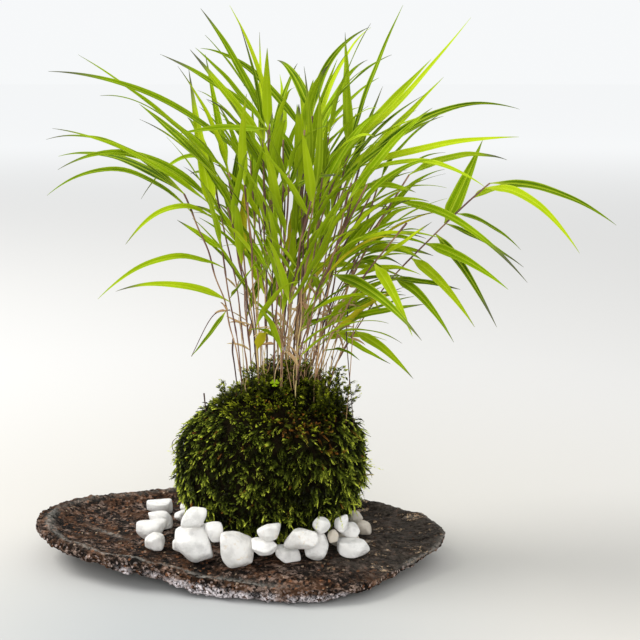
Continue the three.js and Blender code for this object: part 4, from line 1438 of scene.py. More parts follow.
    def grow_side_leaves(self, seed: Seed, shares: tuple, tries: int, draw: Callable) -> None:
        """Grows leaves along each stem, to one side and the other in turn.

        Args:
            seed: Seed of their draws.
            shares: Where on the stem they leave it.
            tries: How often a leaf is drawn before it is left out.
            draw: What draws a leaf.
        """
        for index, stem in enumerate(self.stems):
            for node, share in enumerate(shares):
                draws = Draws(seed.value + 10 * index + node)
                place, side = stem.bend.at(share), 1 if (index + node) % 2 else -1
                for _ in range(tries):
                    leaf = draw(stem, place, side, draws)
                    if self.fits(leaf, stem):
                        stem.leaves.append(leaf)
                        break


@dataclass
class GrassDresser:
    """Turns the laid-out stems and leaves into fine blades and culms, a piece for each tuft."""

    grass: Grass
    rows: int = 26
    columns: int = 7
    crowding: float = 0.35
    thickness: float = 0.24
    keel: float = 0.9
    ripple: float = 0.45
    culm_rows: int = 34
    culm_sides: int = 7
    culm_radius: Span = (0.38, 0.56)
    sheath: float = 0.3
    culm_root: float = 10.4
    wander: float = 0.8
    joint_every: float = 42.0
    joint_length: float = 2.4
    # Shares of near black culms, and of those and purple ones, from left to right
    black_share: Span = (0.14, 0.34)
    dark_share: Span = (0.38, 0.66)
    top_hue: float = 0.68
    # Only leaves lower than this turn yellow or dry
    aged_below: float = 225
    aged_share: float = 0.07
    dry_share: float = 0.02

    def blade(self, pile: Pile, leaf: Leaf, draws: Draws) -> None:
        """Adds one fine leaf blade, with its upper and under side.

        Args:
            pile: Where it goes.
            leaf: The blade's course.
            draws: The blade's own draws.
        """
        even = np.linspace(0, 1, self.rows)
        shares = lerp(even, smooth_step(even), self.crowding)
        points, across, face = leaf.frames(shares)
        half = leaf.half_width(shares) * (1 - 0.5 * shares**1.6) + 0.1
        spread = np.linspace(-1, 1, self.columns)
        waves = draws.between(1.4, 3.2)
        phase = draws.between(0, 2 * math.pi)
        tilt = draws.between(-0.5, 0.5)
        wave = np.sin(2 * math.pi * waves * shares + phase)[:, None] * spread**2
        lean = np.sin(math.pi * shares * 1.5 + phase)[:, None] * spread * tilt
        fold = -self.keel * np.minimum(half / 2.5, 1)[:, None] * (1 - np.abs(spread) ** 1.4)
        lift = fold + (self.ripple * wave + lean) * np.minimum(half / 3, 1)[:, None]
        body = points[:, None] + across[:, None] * (half[:, None] * spread)[..., None]
        skin = self.thickness * (1 - 0.75 * spread**2)[None] * (1 - 0.6 * shares)[:, None]
        skin = np.where(np.abs(spread)[None] == 1, 0.0, skin)
        looks = {
            "along": np.repeat(shares, self.columns),
            "across": np.tile(spread, self.rows),
            "tone": draws.next(),
            "age": self.age(leaf, draws),
            "dryness": draws.between(0.62, 1.0),
        }
        upper = body + face[:, None] * lift[..., None]
        under = body + face[:, None] * (lift - skin)[..., None]
        pile.sheet(upper, under, Skin.BLADE, hue=0.0, joint=0.0, **looks)

    def age(self, leaf: Leaf, draws: Draws) -> float:
        """Draws how far a leaf has turned yellow; low leaves are the oldest.

        Args:
            leaf: The leaf.
            draws: Its own draws.

        Returns:
            0 for a fresh leaf, 0.5 for a yellow one and 1 for a dry one.
        """
        chance = draws.next()
        if leaf.bend.start[2] > self.aged_below or chance > self.aged_share:
            return 0.0
        return 1.0 if chance < self.dry_share else 0.5

    def culm(self, pile: Pile, stem: Stem, draws: Draws) -> None:
        """Adds one fine culm with its sheaths and joints.

        Args:
            pile: Where it goes.
            stem: The culm's course.
            draws: The culm's own draws.
        """
        shares = np.linspace(0, 1, self.culm_rows)
        points, across, face = stem.frames(shares)
        offset = draws.next()
        for aside in (across, face):
            swing = np.sin(2 * math.pi * (shares * draws.between(1.5, 3.6) + draws.next()))
            points = points + aside * (self.wander * swing * np.sin(math.pi * shares))[:, None]
        step = shares * stem.length / self.joint_every + offset
        since = step - np.floor(step)
        joint = bell(np.minimum(since, 1 - since) * self.joint_every, self.joint_length)
        radius = lerp(*self.culm_radius, shares) * (1 + self.sheath * (1 - since) + 0.25 * joint)
        top = self.top_hue + 0.3 * (0.5 - since)
        hue = lerp(self.hue(stem, draws) + 0.12 * (0.6 - since), top, 0.8 * smooth_step(shares * 2.2 - 0.5))
        if stem.is_rooted:
            root = points[0] - self.culm_root * UP
            points = np.vstack([root, points])
            across, face = np.vstack([across[:1], across]), np.vstack([face[:1], face])
            radius, hue = np.append(radius[0], radius), np.append(hue[0], hue)
            joint = np.append(0.0, joint)
        plain = dict.fromkeys(("along", "across", "tone", "age", "dryness"), 0.0)
        pile.tube((points, across, face), radius, self.culm_sides, hue=hue, joint=joint, **plain)

    def hue(self, stem: Stem, draws: Draws) -> float:
        """Draws a culm's colour: straw on the left, more purple and black to the right.

        Args:
            stem: The culm.
            draws: Its own draws.

        Returns:
            A place on the culm's colour ramp.
        """
        east = float(smooth_step((stem.bend.start[0] + 10) / 50))
        chance = draws.next()
        if chance < lerp(*self.black_share, east):
            return 0.9
        if chance < lerp(*self.dark_share, east):
            return 0.62
        return draws.between(0.12, 0.48)

    def build(self, finishes: Sequence[Material]) -> None:
        """Builds the pieces.

        Args:
            finishes: The leaf and the culm material.
        """
        for tuft in range(self.grass.tufts):
            pile = Pile()
            for stem in self.grass.stems:
                if stem.tuft != tuft:
                    continue
                self.culm(pile, stem, Draws(Seed.CULM_LOOK.value + stem.number))
                leaves = stem.leaves + ([stem.blade] if stem.blade else [])
                for number, leaf in enumerate(leaves):
                    seed = Seed.LEAF_LOOK.value + 20 * stem.number + number
                    self.blade(pile, leaf, Draws(seed))
            node = f"grass_tuft_{tuft + 1:02d}"
            show(pile, f"grass_{tuft + 1:02d}", finishes, Slot.GRASS, node)


# Moss


@dataclass(frozen=True)
class MossPatch:
    """A place where the moss looks or grows otherwise."""

    x: float
    y: float
    z: float
    radius: float
    strength: float

    def share(self, points: Array) -> Array:
        """Gives how much the patch shows at each point."""
        away = np.linalg.norm(points - np.array([self.x, self.y, self.z]), axis=1)
        return self.strength * bell(away, self.radius)


@dataclass
class Sprigs:
    """Many moss sprigs: where each is rooted, where it points and how it looks."""

    roots: Array
    headings: Array
    outward: Array
    lengths: Array
    droop: Array
    plump: Array
    looks: dict[str, Array]

    LEAFLET = 2.2
    # Tip and middle of a leaflet, ahead and out, and half its width, all as shares of its size
    TIP = (0.95, 0.42)
    MIDDLE = (0.42, 0.22)
    HALF_WIDTH = 0.27
    # How far along the sprig's colours each corner of a leaflet lies from its foot
    RISE = (0.0, 0.12, 0.3, 0.12)

    def keep(self, chosen: Array) -> Sprigs:
        """Gives the chosen sprigs alone.

        Args:
            chosen: Which sprigs are kept.

        Returns:
            The smaller set.
        """
        columns = (self.roots, self.headings, self.outward, self.lengths, self.droop, self.plump)
        looks = {name: values[chosen] for name, values in self.looks.items()}
        return Sprigs(*(column[chosen] for column in columns), looks)

    def add_to(self, pile: Pile, leaflets: int, dice: Dice, scatter: float = 0.6) -> None:
        """Adds the sprigs' leaflets, in two loose rows like a feather, each folded in the middle.

        Args:
            pile: Where they go.
            leaflets: How many leaflets a sprig has.
            dice: Draws for the turn of each leaflet.
            scatter: How far the leaflets stray from the two rows.
        """
        count = len(self.roots)
        aside = unit(np.cross(self.headings, self.outward + 1e-4))
        over = np.cross(self.headings, aside)
        step = np.arange(leaflets) / leaflets
        turn = math.pi * np.arange(leaflets) + dice.normal(0, scatter, (count, leaflets))
        out = aside[:, None] * np.cos(turn)[..., None] + over[:, None] * np.sin(turn)[..., None]
        length = self.lengths[:, None, None]
        bend = self.droop[:, None, None] * np.array([0.0, 0.0, -1.0]) * length
        along = step[None, :, None]
        axis = self.roots[:, None] + self.headings[:, None] * length * along + bend * along**2
        ahead = unit(self.headings[:, None] * length + 2 * bend * along)
        side = unit(np.cross(ahead, out))
        profile = (0.7 + 0.55 * np.sin(math.pi * step**0.8)) * (1 - 0.35 * step)
        size = (self.LEAFLET * self.plump[:, None] * profile[None])[..., None]
        size = size * dice.uniform(0.75, 1.2, (count, leaflets, 1))
        tip, middle = (axis + (ahead * fore + out * off) * size for fore, off in (self.TIP, self.MIDDLE))
        half = side * self.HALF_WIDTH * size
        points = np.stack([axis, middle + half, tip, middle - half], axis=2).reshape(-1, 3)
        corner = np.arange(count * leaflets)[:, None] * 4
        faces = np.concatenate([corner + np.array([0, 2, 1]), corner + np.array([0, 3, 2])])
        rise = np.repeat(step, 4) + np.tile(self.RISE, leaflets)
        traits = {name: np.repeat(values, leaflets * 4) for name, values in self.looks.items()}
        pile.add(points, faces, 0, tip=np.tile(rise, count), **traits)


@dataclass
class MossBall:
    """The moss round the ball: a dark bed and thousands of sprigs that stand out of it in tufts."""

    ball: Ball
    side_sprigs: int = 11500
    side_tufts: int = 700
    cap_sprigs: int = 15000
    cap_tufts: int = 900
    fronds: int = 4800
    frond_leaflets: int = 14
    branch_leaflets: int = 7
    branch_share: float = 0.35
    branch_size: float = 0.55
    branch_plump: float = 0.62
    # Lengths, sizes and stray of the sprigs and fronds, from the left of the ball to the right
    sprig_length: Span = (4.8, 6.4)
    sprig_plump: Span = (0.74, 1.02)
    frond_length: Span = (4.5, 6.6)
    frond_plump: Span = (0.68, 0.85)
    frond_stray: Span = (0.65, 0.48)
    # Shortest and longest sprig of the top and of the shoots
    cap_length: Span = (3.6, 8.0)
    shoot_length: Span = (3.5, 7.5)
    root_depth: float = 3.6
    bed_depth: float = 6.5
    bed_lump: float = 2.0
    sectors: int = 3
    leaflets: int = 12
    low_count: int = 34
    low_half: Span = (38, 30)
    low_height: Span = (5, 14)
    rust: tuple = (
        MossPatch(19, -52, 119, 13, 1.6), MossPatch(44, -42, 115, 12, 1.4), MossPatch(30, -50, 117, 10, 1.6),
        MossPatch(60, -20, 112, 9, 0.8), MossPatch(40, -56, 92, 7, 0.7), MossPatch(6, -56, 116, 8, 1.0),
    )
    gold: tuple = (
        MossPatch(40, -54, 110, 8, 1.0), MossPatch(33, -62, 98, 6, 1.0), MossPatch(48, -48, 100, 9, 0.7),
    )
    shade: tuple = (
        MossPatch(-61, -20, 95, 12, 0.5), MossPatch(-30, -60, 90, 12, 0.3), MossPatch(30, -64, 75, 10, 0.3),
        MossPatch(45, -55, 50, 20, 0.4), MossPatch(36, -25, 124, 14, 0.5),
    )
    # How far aside a second pattern of the same noise is read
    FAR = 300
    # Single long sprigs: root and tip
    LONG = (
        ((64, -14, 74), (82, -13, 70)), ((63, -16, 72), (76, -20, 76)), ((56, -34, 56), (67, -43, 51)),
        ((55, -36, 52), (63, -46, 55)), ((38, -62, 60), (34, -70, 45)), ((49, -52, 56), (53, -62, 42)),
        ((-36, -56, 50), (-42, -64, 40)), ((-62, -14, 92), (-70, -15, 86)), ((-62, -14, 80), (-71, -14, 84)),
        ((-62, -12, 70), (-70, -13, 66)), ((60, -30, 80), (73, -34, 84)), ((58, -34, 96), (70, -36, 99)),
    )

    def bed(self, finish: Material) -> None:
        """Builds the dark beds, one for the side and one for the top.

        Args:
            finish: Their material.
        """
        directions, faces = globe(6)
        points = self.ball.skin(directions, self.bed_depth)
        points += self.ball.normals(directions) * cloud_noise(points, 9)[:, None] * self.bed_lump
        points[:, 2] = np.maximum(points[:, 2], self.ball.floor)
        is_cap = self.ball.is_cap(points[faces].mean(axis=1))
        for name, chosen, slot, node in (
            ("moss_side_bed", ~is_cap, Slot.SIDE_MOSS, "moss_wrap"),
            ("moss_top_bed", is_cap, Slot.TOP_MOSS, "moss_cap"),
        ):
            pile = Pile()
            used, numbers = np.unique(faces[chosen], return_inverse=True)
            pile.add(points[used], numbers.reshape(-1, 3))
            show(pile, name, [finish], slot, node)

    def looks(self, roots: Array, tone: Array, dice: Dice) -> dict[str, Array]:
        """Gives the colour traits of sprigs.

        Args:
            roots: Where the sprigs are rooted.
            tone: How bright they are before the patches.
            dice: Their draws.

        Returns:
            Tone, rust and gold, one value a sprig.
        """
        count = len(roots)
        tone = tone - sum(patch.share(roots) for patch in self.shade)
        rust = 0.012 + 0.5 * sum(patch.share(roots) for patch in self.rust)
        rust = np.where(dice.uniform(size=count) < rust, dice.uniform(0.5, 1.0, count), 0.12 * rust)
        gold = 0.5 * sum(patch.share(roots) for patch in self.gold)
        gold = np.where(dice.uniform(size=count) < gold, dice.uniform(0.4, 1.0, count), 0.1 * gold)
        return {
            "tone": np.clip(tone, 0.05, 1.2), "rust": np.clip(rust, 0, 1), "gold": np.clip(gold, 0, 1),
        }

    def sprigs(self, count: int, tufts: int, dice: Dice) -> Sprigs:
        """Spreads sprigs over the whole ball, gathered in tufts that each hang their own way.

        Args:
            count: How many sprigs.
            tufts: How many tufts.
            dice: Their draws.

        Returns:
            The sprigs.
        """
        directions = unit(even_directions(count) + dice.normal(0, 0.014, (count, 3)))
        centres = unit(even_directions(tufts) + dice.normal(0, 0.03, (tufts, 3)))
        closeness = directions @ centres.T
        tuft = closeness.argmax(axis=1)
        reach = math.sqrt(4 / tufts)
        rim = np.arccos(np.clip(closeness.max(axis=1), -1, 1)) / reach
        normals = self.ball.normals(directions)
        pulled = unit(directions + (centres[tuft] - directions) * 0.3)
        roots = self.ball.skin(pulled, self.root_depth) - normals * (1.1 * rim)[:, None]
        down = unit(normals * normals[:, 2:] - UP + 1e-3)
        aside = np.cross(normals, down)
        twist = dice.normal(0, 0.7, tufts)[tuft] + dice.normal(0, 0.35, count)
        fall = down * np.cos(twist)[:, None] + aside * np.sin(twist)[:, None]
        lift = dice.uniform(0.15, 0.75, tufts)[tuft] + dice.normal(0, 0.16, count)
        headings = unit(fall + normals * lift[:, None] + dice.normal(0, 0.12, (count, 3)))
        east = smooth_step((roots[:, 0] + 35) / 70)
        lengths = lerp(*self.sprig_length, east) * dice.uniform(0.75, 1.25, tufts)[tuft]
        lengths = lengths * dice.uniform(0.65, 1.2, count)
        droop = 0.22 * dice.uniform(0, 1.4, count)
        plump = lerp(*self.sprig_plump, east) * dice.uniform(0.8, 1.2, count)
        tone = 0.33 + 0.3 * cloud_noise(roots, 20) + dice.normal(0, 0.22, tufts)[tuft]
        # Sprigs near the edge of their tuft are darker: painted shade in the gaps between tufts
        tone += dice.normal(0, 0.13, count) - 0.28 * rim
        return Sprigs(roots, headings, normals, lengths, droop, plump, self.looks(roots, tone, dice))

    def side(self, finish: Material) -> None:
        """Builds the sprigs round the side, in a few sectors.

        Args:
            finish: Their material.
        """
        dice = np.random.default_rng(Seed.MOSS.value)
        fronds = self.bright_fronds(dice)
        bunches = (
            (self.sprigs(self.side_sprigs, self.side_tufts, dice), self.leaflets, 0.6),
            (fronds, self.frond_leaflets, 0.3),
            (self.branches(fronds, 1, dice), self.branch_leaflets, 0.3),
            (self.branches(fronds, -1, dice), self.branch_leaflets, 0.3),
        )
        for number in range(self.sectors):
            pile = Pile()
            for bunch, leaflets, scatter in bunches:
                on_side = ~self.ball.is_cap(bunch.roots) & (bunch.roots[:, 2] > self.ball.floor + 1.5)
                turn = np.arctan2(bunch.roots[:, 1], bunch.roots[:, 0]) / (2 * math.pi) + 0.5
                sector = np.floor(turn * self.sectors).astype(int) % self.sectors
                bunch.keep(on_side & (sector == number)).add_to(pile, leaflets, dice, scatter)
            if number == 0:
                self.long_sprigs().add_to(pile, 2 * self.leaflets, dice)
            show(pile, f"moss_side_sprigs_{number + 1}", [finish], Slot.SIDE_MOSS, "moss_wrap")

    def bright_fronds(self, dice: Dice) -> Sprigs:
        """Gives the long bright fronds that hang over the others, thicker set in some places.

        Args:
            dice: Their draws.

        Returns:
            The fronds.
        """
        fronds = self.sprigs(self.fronds, self.fronds // 2, dice)
        count = len(fronds.roots)
        crowd = cloud_noise(fronds.roots + self.FAR, 13) + dice.normal(0, 0.3, count)
        fronds = fronds.keep(crowd > -0.15)
        count = len(fronds.roots)
        east = smooth_step((fronds.roots[:, 0] + 30) / 60)
        fronds.roots = fronds.roots + fronds.outward * 1.4
        stray = dice.normal(0, 1, (count, 3)) * lerp(*self.frond_stray, east)[:, None]
        fronds.headings = unit(fronds.headings + stray + fronds.outward * dice.uniform(0.0, 0.3, (count, 1)))
        fronds.lengths = lerp(*self.frond_length, east) * dice.uniform(0.75, 1.5, count)
        fronds.droop = fronds.droop + 0.12
        fronds.plump = lerp(*self.frond_plump, east) * dice.uniform(0.85, 1.2, count)
        fronds.looks["tone"] = np.clip(fronds.looks["tone"] + dice.uniform(-0.2, 0.85, count), 0.12, 1.25)
        return fronds

    def branches(self, fronds: Sprigs, side: int, dice: Dice) -> Sprigs:
        """Gives short branches that leave some of the fronds to one side.

        Args:
            fronds: The fronds.
            side: 1 or -1, the side of the frond.
            dice: Their draws.

        Returns:
            The branches.
        """
        chosen = dice.uniform(size=len(fronds.roots)) < self.branch_share
        twigs = fronds.keep(chosen)
        count = len(twigs.roots)
        aside = side * unit(np.cross(twigs.headings, twigs.outward + 1e-4))
        place = (twigs.lengths * dice.uniform(0.35, 0.6, count))[:, None]
        twigs.roots = twigs.roots + twigs.headings * place
        twigs.headings = unit(twigs.headings + aside * dice.uniform(0.6, 1.0, (count, 1)))
        twigs.lengths = twigs.lengths * self.branch_size
        twigs.plump = twigs.plump * self.branch_plump
        return twigs

    def long_sprigs(self) -> Sprigs:
        """Gives the single long sprigs that stand out of the side."""
        roots = np.array([root for root, _ in self.LONG], dtype=float)
        tips = np.array([tip for _, tip in self.LONG], dtype=float)
        lengths = np.linalg.norm(tips - roots, axis=1)
        headings = unit(tips - roots)
        one = np.ones(len(roots))
        looks = {"tone": 0.9 * one, "rust": 0.0 * one, "gold": 0.1 * one}
        front = np.tile([0.1, -1.0, 0.2], (len(roots), 1))
        return Sprigs(roots, headings, front, lengths, 0.05 * one, 0.85 * one, looks)

    def cap(self, finish: Material) -> None:
        """Builds the finer, darker moss on top and the tall shoots beside the stems.

        Args:
            finish: Their material.
        """
        dice = np.random.default_rng(Seed.TOP_MOSS.value)
        sprigs = self.sprigs(self.cap_sprigs, self.cap_tufts, dice)
        sprigs = sprigs.keep(self.ball.is_cap(sprigs.roots))
        count = len(sprigs.roots)
        sprigs.headings = unit(sprigs.headings + 0.9 * UP + dice.normal(0, 0.35, (count, 3)))
        sprigs.lengths = dice.uniform(*self.cap_length, count)
        sprigs.plump = sprigs.plump * 0.8
        sprigs.looks["tone"] = np.clip(sprigs.looks["tone"] + dice.uniform(-0.05, 0.35, count), 0.05, 1.1)
        pile = Pile()
        sprigs.add_to(pile, self.leaflets, dice)
        self.tall_shoots(dice).add_to(pile, 8, dice)
        show(pile, "moss_top_sprigs", [finish], Slot.TOP_MOSS, "moss_cap")

    def low_shoots(self, dice: Dice) -> list[tuple[float, float, float, float]]:
        """Draws the low shoots between the stems.

        Args:
            dice: Their draws.

        Returns:
            Place, height and lean of each.
        """
        low = []
        for _ in range(self.low_count):
            reach, turn = math.sqrt(dice.uniform()), dice.uniform(0, 2 * math.pi)
            x = self.ball.clump_x + self.low_half[0] * reach * math.cos(turn)
            y = self.low_half[1] * reach * math.sin(turn)
            low.append((x, y, dice.uniform(*self.low_height), 0.0))
        return low

    def tall_shoots(self, dice: Dice) -> Sprigs:
        """Gives the side sprigs of the shoots that stand like small shrubs round the stems.

        Args:
            dice: Their draws.

        Returns:
            The sprigs.
        """
        roots, headings, tone = [], [], []
        for x, y, height, lean in (*Grass.SHOOTS, *self.low_shoots(dice)):
            for _ in range(3 + int(height / 7)):
                aside = dice.normal(0, 2.6, 2)
                ground = self.ball.height(x, y) - Grass.SHOOT_ROOT
                foot = np.array([x + aside[0], y + aside[1], ground])
                tall = (height + Grass.SHOOT_ROOT) * dice.uniform(0.5, 1.05)
                top = foot + np.array([lean + aside[0], aside[1], tall])
                for share in np.arange(0.08, 1.0, 1.9 / tall):
                    swing = dice.uniform(0, 2 * math.pi)
                    roots.append(foot + (top - foot) * share)
                    headings.append([math.cos(swing), math.sin(swing), dice.uniform(0.35, 1.3)])
                    tone.append(0.15 + 0.75 * share * dice.uniform(0.4, 1.1))
        count = len(roots)
        looks = {"tone": np.array(tone), "rust": np.zeros(count), "gold": np.zeros(count)}
        lengths = dice.uniform(*self.shoot_length, count)
        droop = dice.uniform(-0.1, 0.25, count)
        plump = dice.uniform(0.95, 1.35, count)
        outward = np.tile([0.2, -1.0, 0.3], (count, 1))
        return Sprigs(np.array(roots), unit(np.array(headings)), outward, lengths, droop, plump, looks)


# Stone tray


class ClosedCurve:
    """A smooth closed curve through points, with bends spread by their distances."""

    def __init__(self, points: Array) -> None:
        """Keeps the points.

        Args:
            points: The points that the curve passes, one a row.
        """
        self.points = points

    def at(self, shares: Array) -> Array:
        """Gives the points at shares of the way round.

        Args:
            shares: Shares from 0 up to 1.

        Returns:
            One point a share.
        """
        count = len(self.points)
        place = shares * count
        index = np.floor(place).astype(int)
        weight = (place - index)[:, None]
        p0, p1, p2, p3 = (self.points[(index + k) % count] for k in (-1, 0, 1, 2))
        d0, d1, d2 = (
            np.sqrt(np.linalg.norm(b - a, axis=1))[:, None] for a, b in ((p0, p1), (p1, p2), (p2, p3))
        )
        start = ((p1 - p0) / d0 - (p2 - p0) / (d0 + d1) + (p2 - p1) / d1) * d1
        end = ((p2 - p1) / d1 - (p3 - p1) / (d1 + d2) + (p3 - p2) / d2) * d1
        second = -3 * p1 + 3 * p2 - 2 * start - end
        third = 2 * p1 - 2 * p2 + start + end
        return p1 + start * weight + second * weight**2 + third * weight**3


@dataclass
class StoneTray:
    """The broken slab with its shallow dish."""

    centre: Span = (-20, 0)
    floor: float = 18
    sectors: int = 680
    steps: int = 12
    # Outline, anticlockwise from the right end: x, y, upper edge z, lower edge z
    EDGE = (
        (127, -8, 22, 15), (122, 8, 23, 14), (106, 28, 24, 12), (70, 56, 24, 10), (30, 80, 25, 9),
        (-20, 91, 25, 9), (-75, 83, 25, 10), (-119, 68, 25, 12), (-146, 54, 26, 14), (-162, 36, 27, 16),
        (-168, 12, 28, 18), (-167, -10, 28, 19), (-155, -32, 27, 18), (-119, -58, 24, 15),
        (-81, -70, 21, 9), (-48, -80, 16, 4), (-16, -88, 13, 2), (24, -95, 12, 2), (50, -91, 12, 3),
        (74, -77, 12, 6), (94, -56, 13, 9), (104, -44, 14, 11), (120, -30, 18, 14),
    )
    # Profile from the middle over the edge to the foot: share of the radius, rise to the upper
    # edge, share of the way down to the lower edge, share of the lower edge's height
    PROFILE = (
        (0.02, 0, 0, 1), (0.3, 0, 0, 1), (0.55, 0, 0, 1), (0.72, 0.02, 0, 1), (0.86, 0.35, 0, 1),
        (0.95, 1.08, 0, 1), (1, 1, 0, 1), (1, 1, 0.5, 1), (0.972, 1, 1, 1), (0.76, 1, 1, 0.42),
        (0.46, 1, 1, 0), (0.02, 1, 1, 0),
    )
    # Places on the profile: the lip round the dish, the rim, the broken face and the underside
    LIP = 5
    RIM = 6
    BROKEN_FACE = 7.2
    UNDERSIDE = 8
    # Radius of the smoother stone under the ball, and the middle of the grey flake
    UNDER_BALL = 60
    FLAKE = (-118, -2)
    # Pale crystal along the broken front: x, y, radius
    CRYSTAL = (
        (-76, -72, 5), (-60, -76, 7), (-45, -80, 9), (-31, -83, 10), (-16, -88, 8), (2, -91, 5), (22, -93, 6),
        (36, -93, 7), (51, -91, 5), (-97, -64, 4),
    )

    def profile(self, high: Array, low: Array) -> Frames:
        """Gives the slab's rows between the profile's marks.

        Args:
            high: Upper edge height of each sector.
            low: Lower edge height of each sector.

        Returns:
            Share of the radius a row, height a row and sector, and the row's place on the profile.
        """
        marks = np.array(self.PROFILE, dtype=float)
        place = np.linspace(0, len(marks) - 1, (len(marks) - 1) * self.steps + 1)
        columns = [np.interp(place, np.arange(len(marks)), marks[:, k]) for k in range(4)]
        share, rise, fall, foot = columns
        upper = self.floor + (high[None] - self.floor) * rise[:, None]
        lower = low[None] * foot[:, None]
        height = np.where(fall[:, None] > 0, upper + (low[None] - upper) * fall[:, None], upper)
        height = np.where(place[:, None] > self.UNDERSIDE, lower, height)
        for _ in range(2):
            for rows in (share, height):
                rows[1:-1] = 0.25 * rows[:-2] + 0.5 * rows[1:-1] + 0.25 * rows[2:]
        return share, height, place

    def build(self, finish: Material) -> None:
        """Builds the slab with its broken edge and rough faces.

        Args:
            finish: Its material.
        """
        around = np.arange(self.sectors) / self.sectors
        edge = np.array(self.EDGE, dtype=float)
        upper, lower = (ClosedCurve(edge[:, [0, 1, k]]).at(around) for k in (2, 3))
        share, height, place = self.profile(upper[:, 2], lower[:, 2])
        centre = np.array(self.centre, dtype=float)
        spokes = upper[:, :2] - centre
        chips = 1.4 * cloud_noise(upper, 24, 3) + 0.5 * cloud_noise(upper + 40, 5, 3)
        spokes += unit(spokes) * chips[:, None]
        flat = centre + share[:, None, None] * spokes[None]
        points = self.roughen(np.concatenate([flat, height[..., None]], axis=-1), place)
        rows = len(share)
        pile = Pile()
        faces = grid_faces(rows, self.sectors, True)[:, ::-1]
        pile.add(points.reshape(-1, 3), faces, **self.traits(points, place))
        for row, order in ((0, 1), (rows - 1, -1)):
            ring = np.arange(self.sectors) + row * self.sectors
            fan = np.stack([np.full(self.sectors - 2, ring[0]), ring[1:-1], ring[2:]], axis=1)
            pile.close(fan[:, ::order])
        show(pile, "tray", [finish], Slot.TRAY, "stone_tray")

    def roughen(self, points: Array, place: Array) -> Array:
        """Moves the points in and out as broken stone does.

        Args:
            points: The smooth slab, by row and sector.
            place: The rows' places on the profile.

        Returns:
            The rough slab.
        """
        down = np.gradient(points, axis=0)
        along = np.roll(points, -1, axis=1) - np.roll(points, 1, axis=1)
        normals = unit(np.cross(along, down) + 1e-9)
        x, y, _ = np.moveaxis(points, -1, 0)
        lumps = cloud_noise(points, 22)
        grain = cloud_noise(points + 90, 3.2)
        crumbs = cloud_noise(points + 400, 7, 4)
        flow = cloud_noise(points * np.array([0.2, 1, 1]) + 200, 9) * smooth_step((x + 10) / 60)
        rim = bell(place - self.BROKEN_FACE, 1.6)[:, None]
        foot = smooth_step(place - self.UNDERSIDE - 1)[:, None]
        west, front = smooth_step((20 - x) / 70), smooth_step((10 - y) / 60)
        broken = rim * (0.35 + 0.65 * front)
        depth = grain * (0.35 + 0.45 * west) + 0.9 * lumps + 2.4 * flow * (1 - rim)
        depth += broken * (grain + 1.5 * lumps) + 0.9 * west * crumbs * (1 - 0.7 * rim)
        depth *= (1 - foot) * np.where(np.hypot(x, y) < self.UNDER_BALL, 0.3, 1.0)
        moved = points + normals * depth[..., None]
        moved[..., 2] = np.maximum(moved[..., 2], 0.0)
        return moved

    def traits(self, points: Array, place: Array) -> dict[str, Array]:
        """Gives the slab's colour traits.

        Args:
            points: The rough slab, by row and sector.
            place: The rows' places on the profile.

        Returns:
            Ridge, crystal, flow, side and rough, one value a point.
        """
        x, y, _ = np.moveaxis(points, -1, 0)
        place = np.broadcast_to(place[:, None], x.shape)
        # Grey along the dish's lip on the left, partly worn stone and partly painted highlight; the weaker
        # grey along the right end's rim is a painted highlight; the flake is the stone's own
        ridge = bell(place - self.LIP, 0.28) * smooth_step((40 - x) / 60) * np.where(y < 20, 1.0, 0.45)
        ridge += 0.6 * bell(place - self.RIM, 0.35) * smooth_step((x - 85) / 20)
        crystal = sum(bell(np.hypot(x - cx, y - cy), radius) for cx, cy, radius in self.CRYSTAL)
        crystal = crystal * smooth_step((place - 6.6) / 0.8)
        side = bell((place - self.BROKEN_FACE) ** 2, 1.1**2)
        flow = smooth_step((x - 10) / 50) * smooth_step((y + 84) / 30) * (1 - 0.75 * side) + 0.05
        from_west = x - self.FLAKE[0]
        flake = bell(from_west, 13) * bell(y - self.FLAKE[1] + 0.85 * from_west, 3.4)
        return {
            "ridge": np.clip(ridge + flake, 0, 1).ravel(),
            "crystal": np.clip(crystal, 0, 1).ravel(),
            "flow": np.clip(flow, 0, 1).ravel(),
            "side": side.ravel(),
            "rough": np.clip(1 - 0.75 * flow * (1 - side), 0, 1).ravel(),
        }


# Pebbles


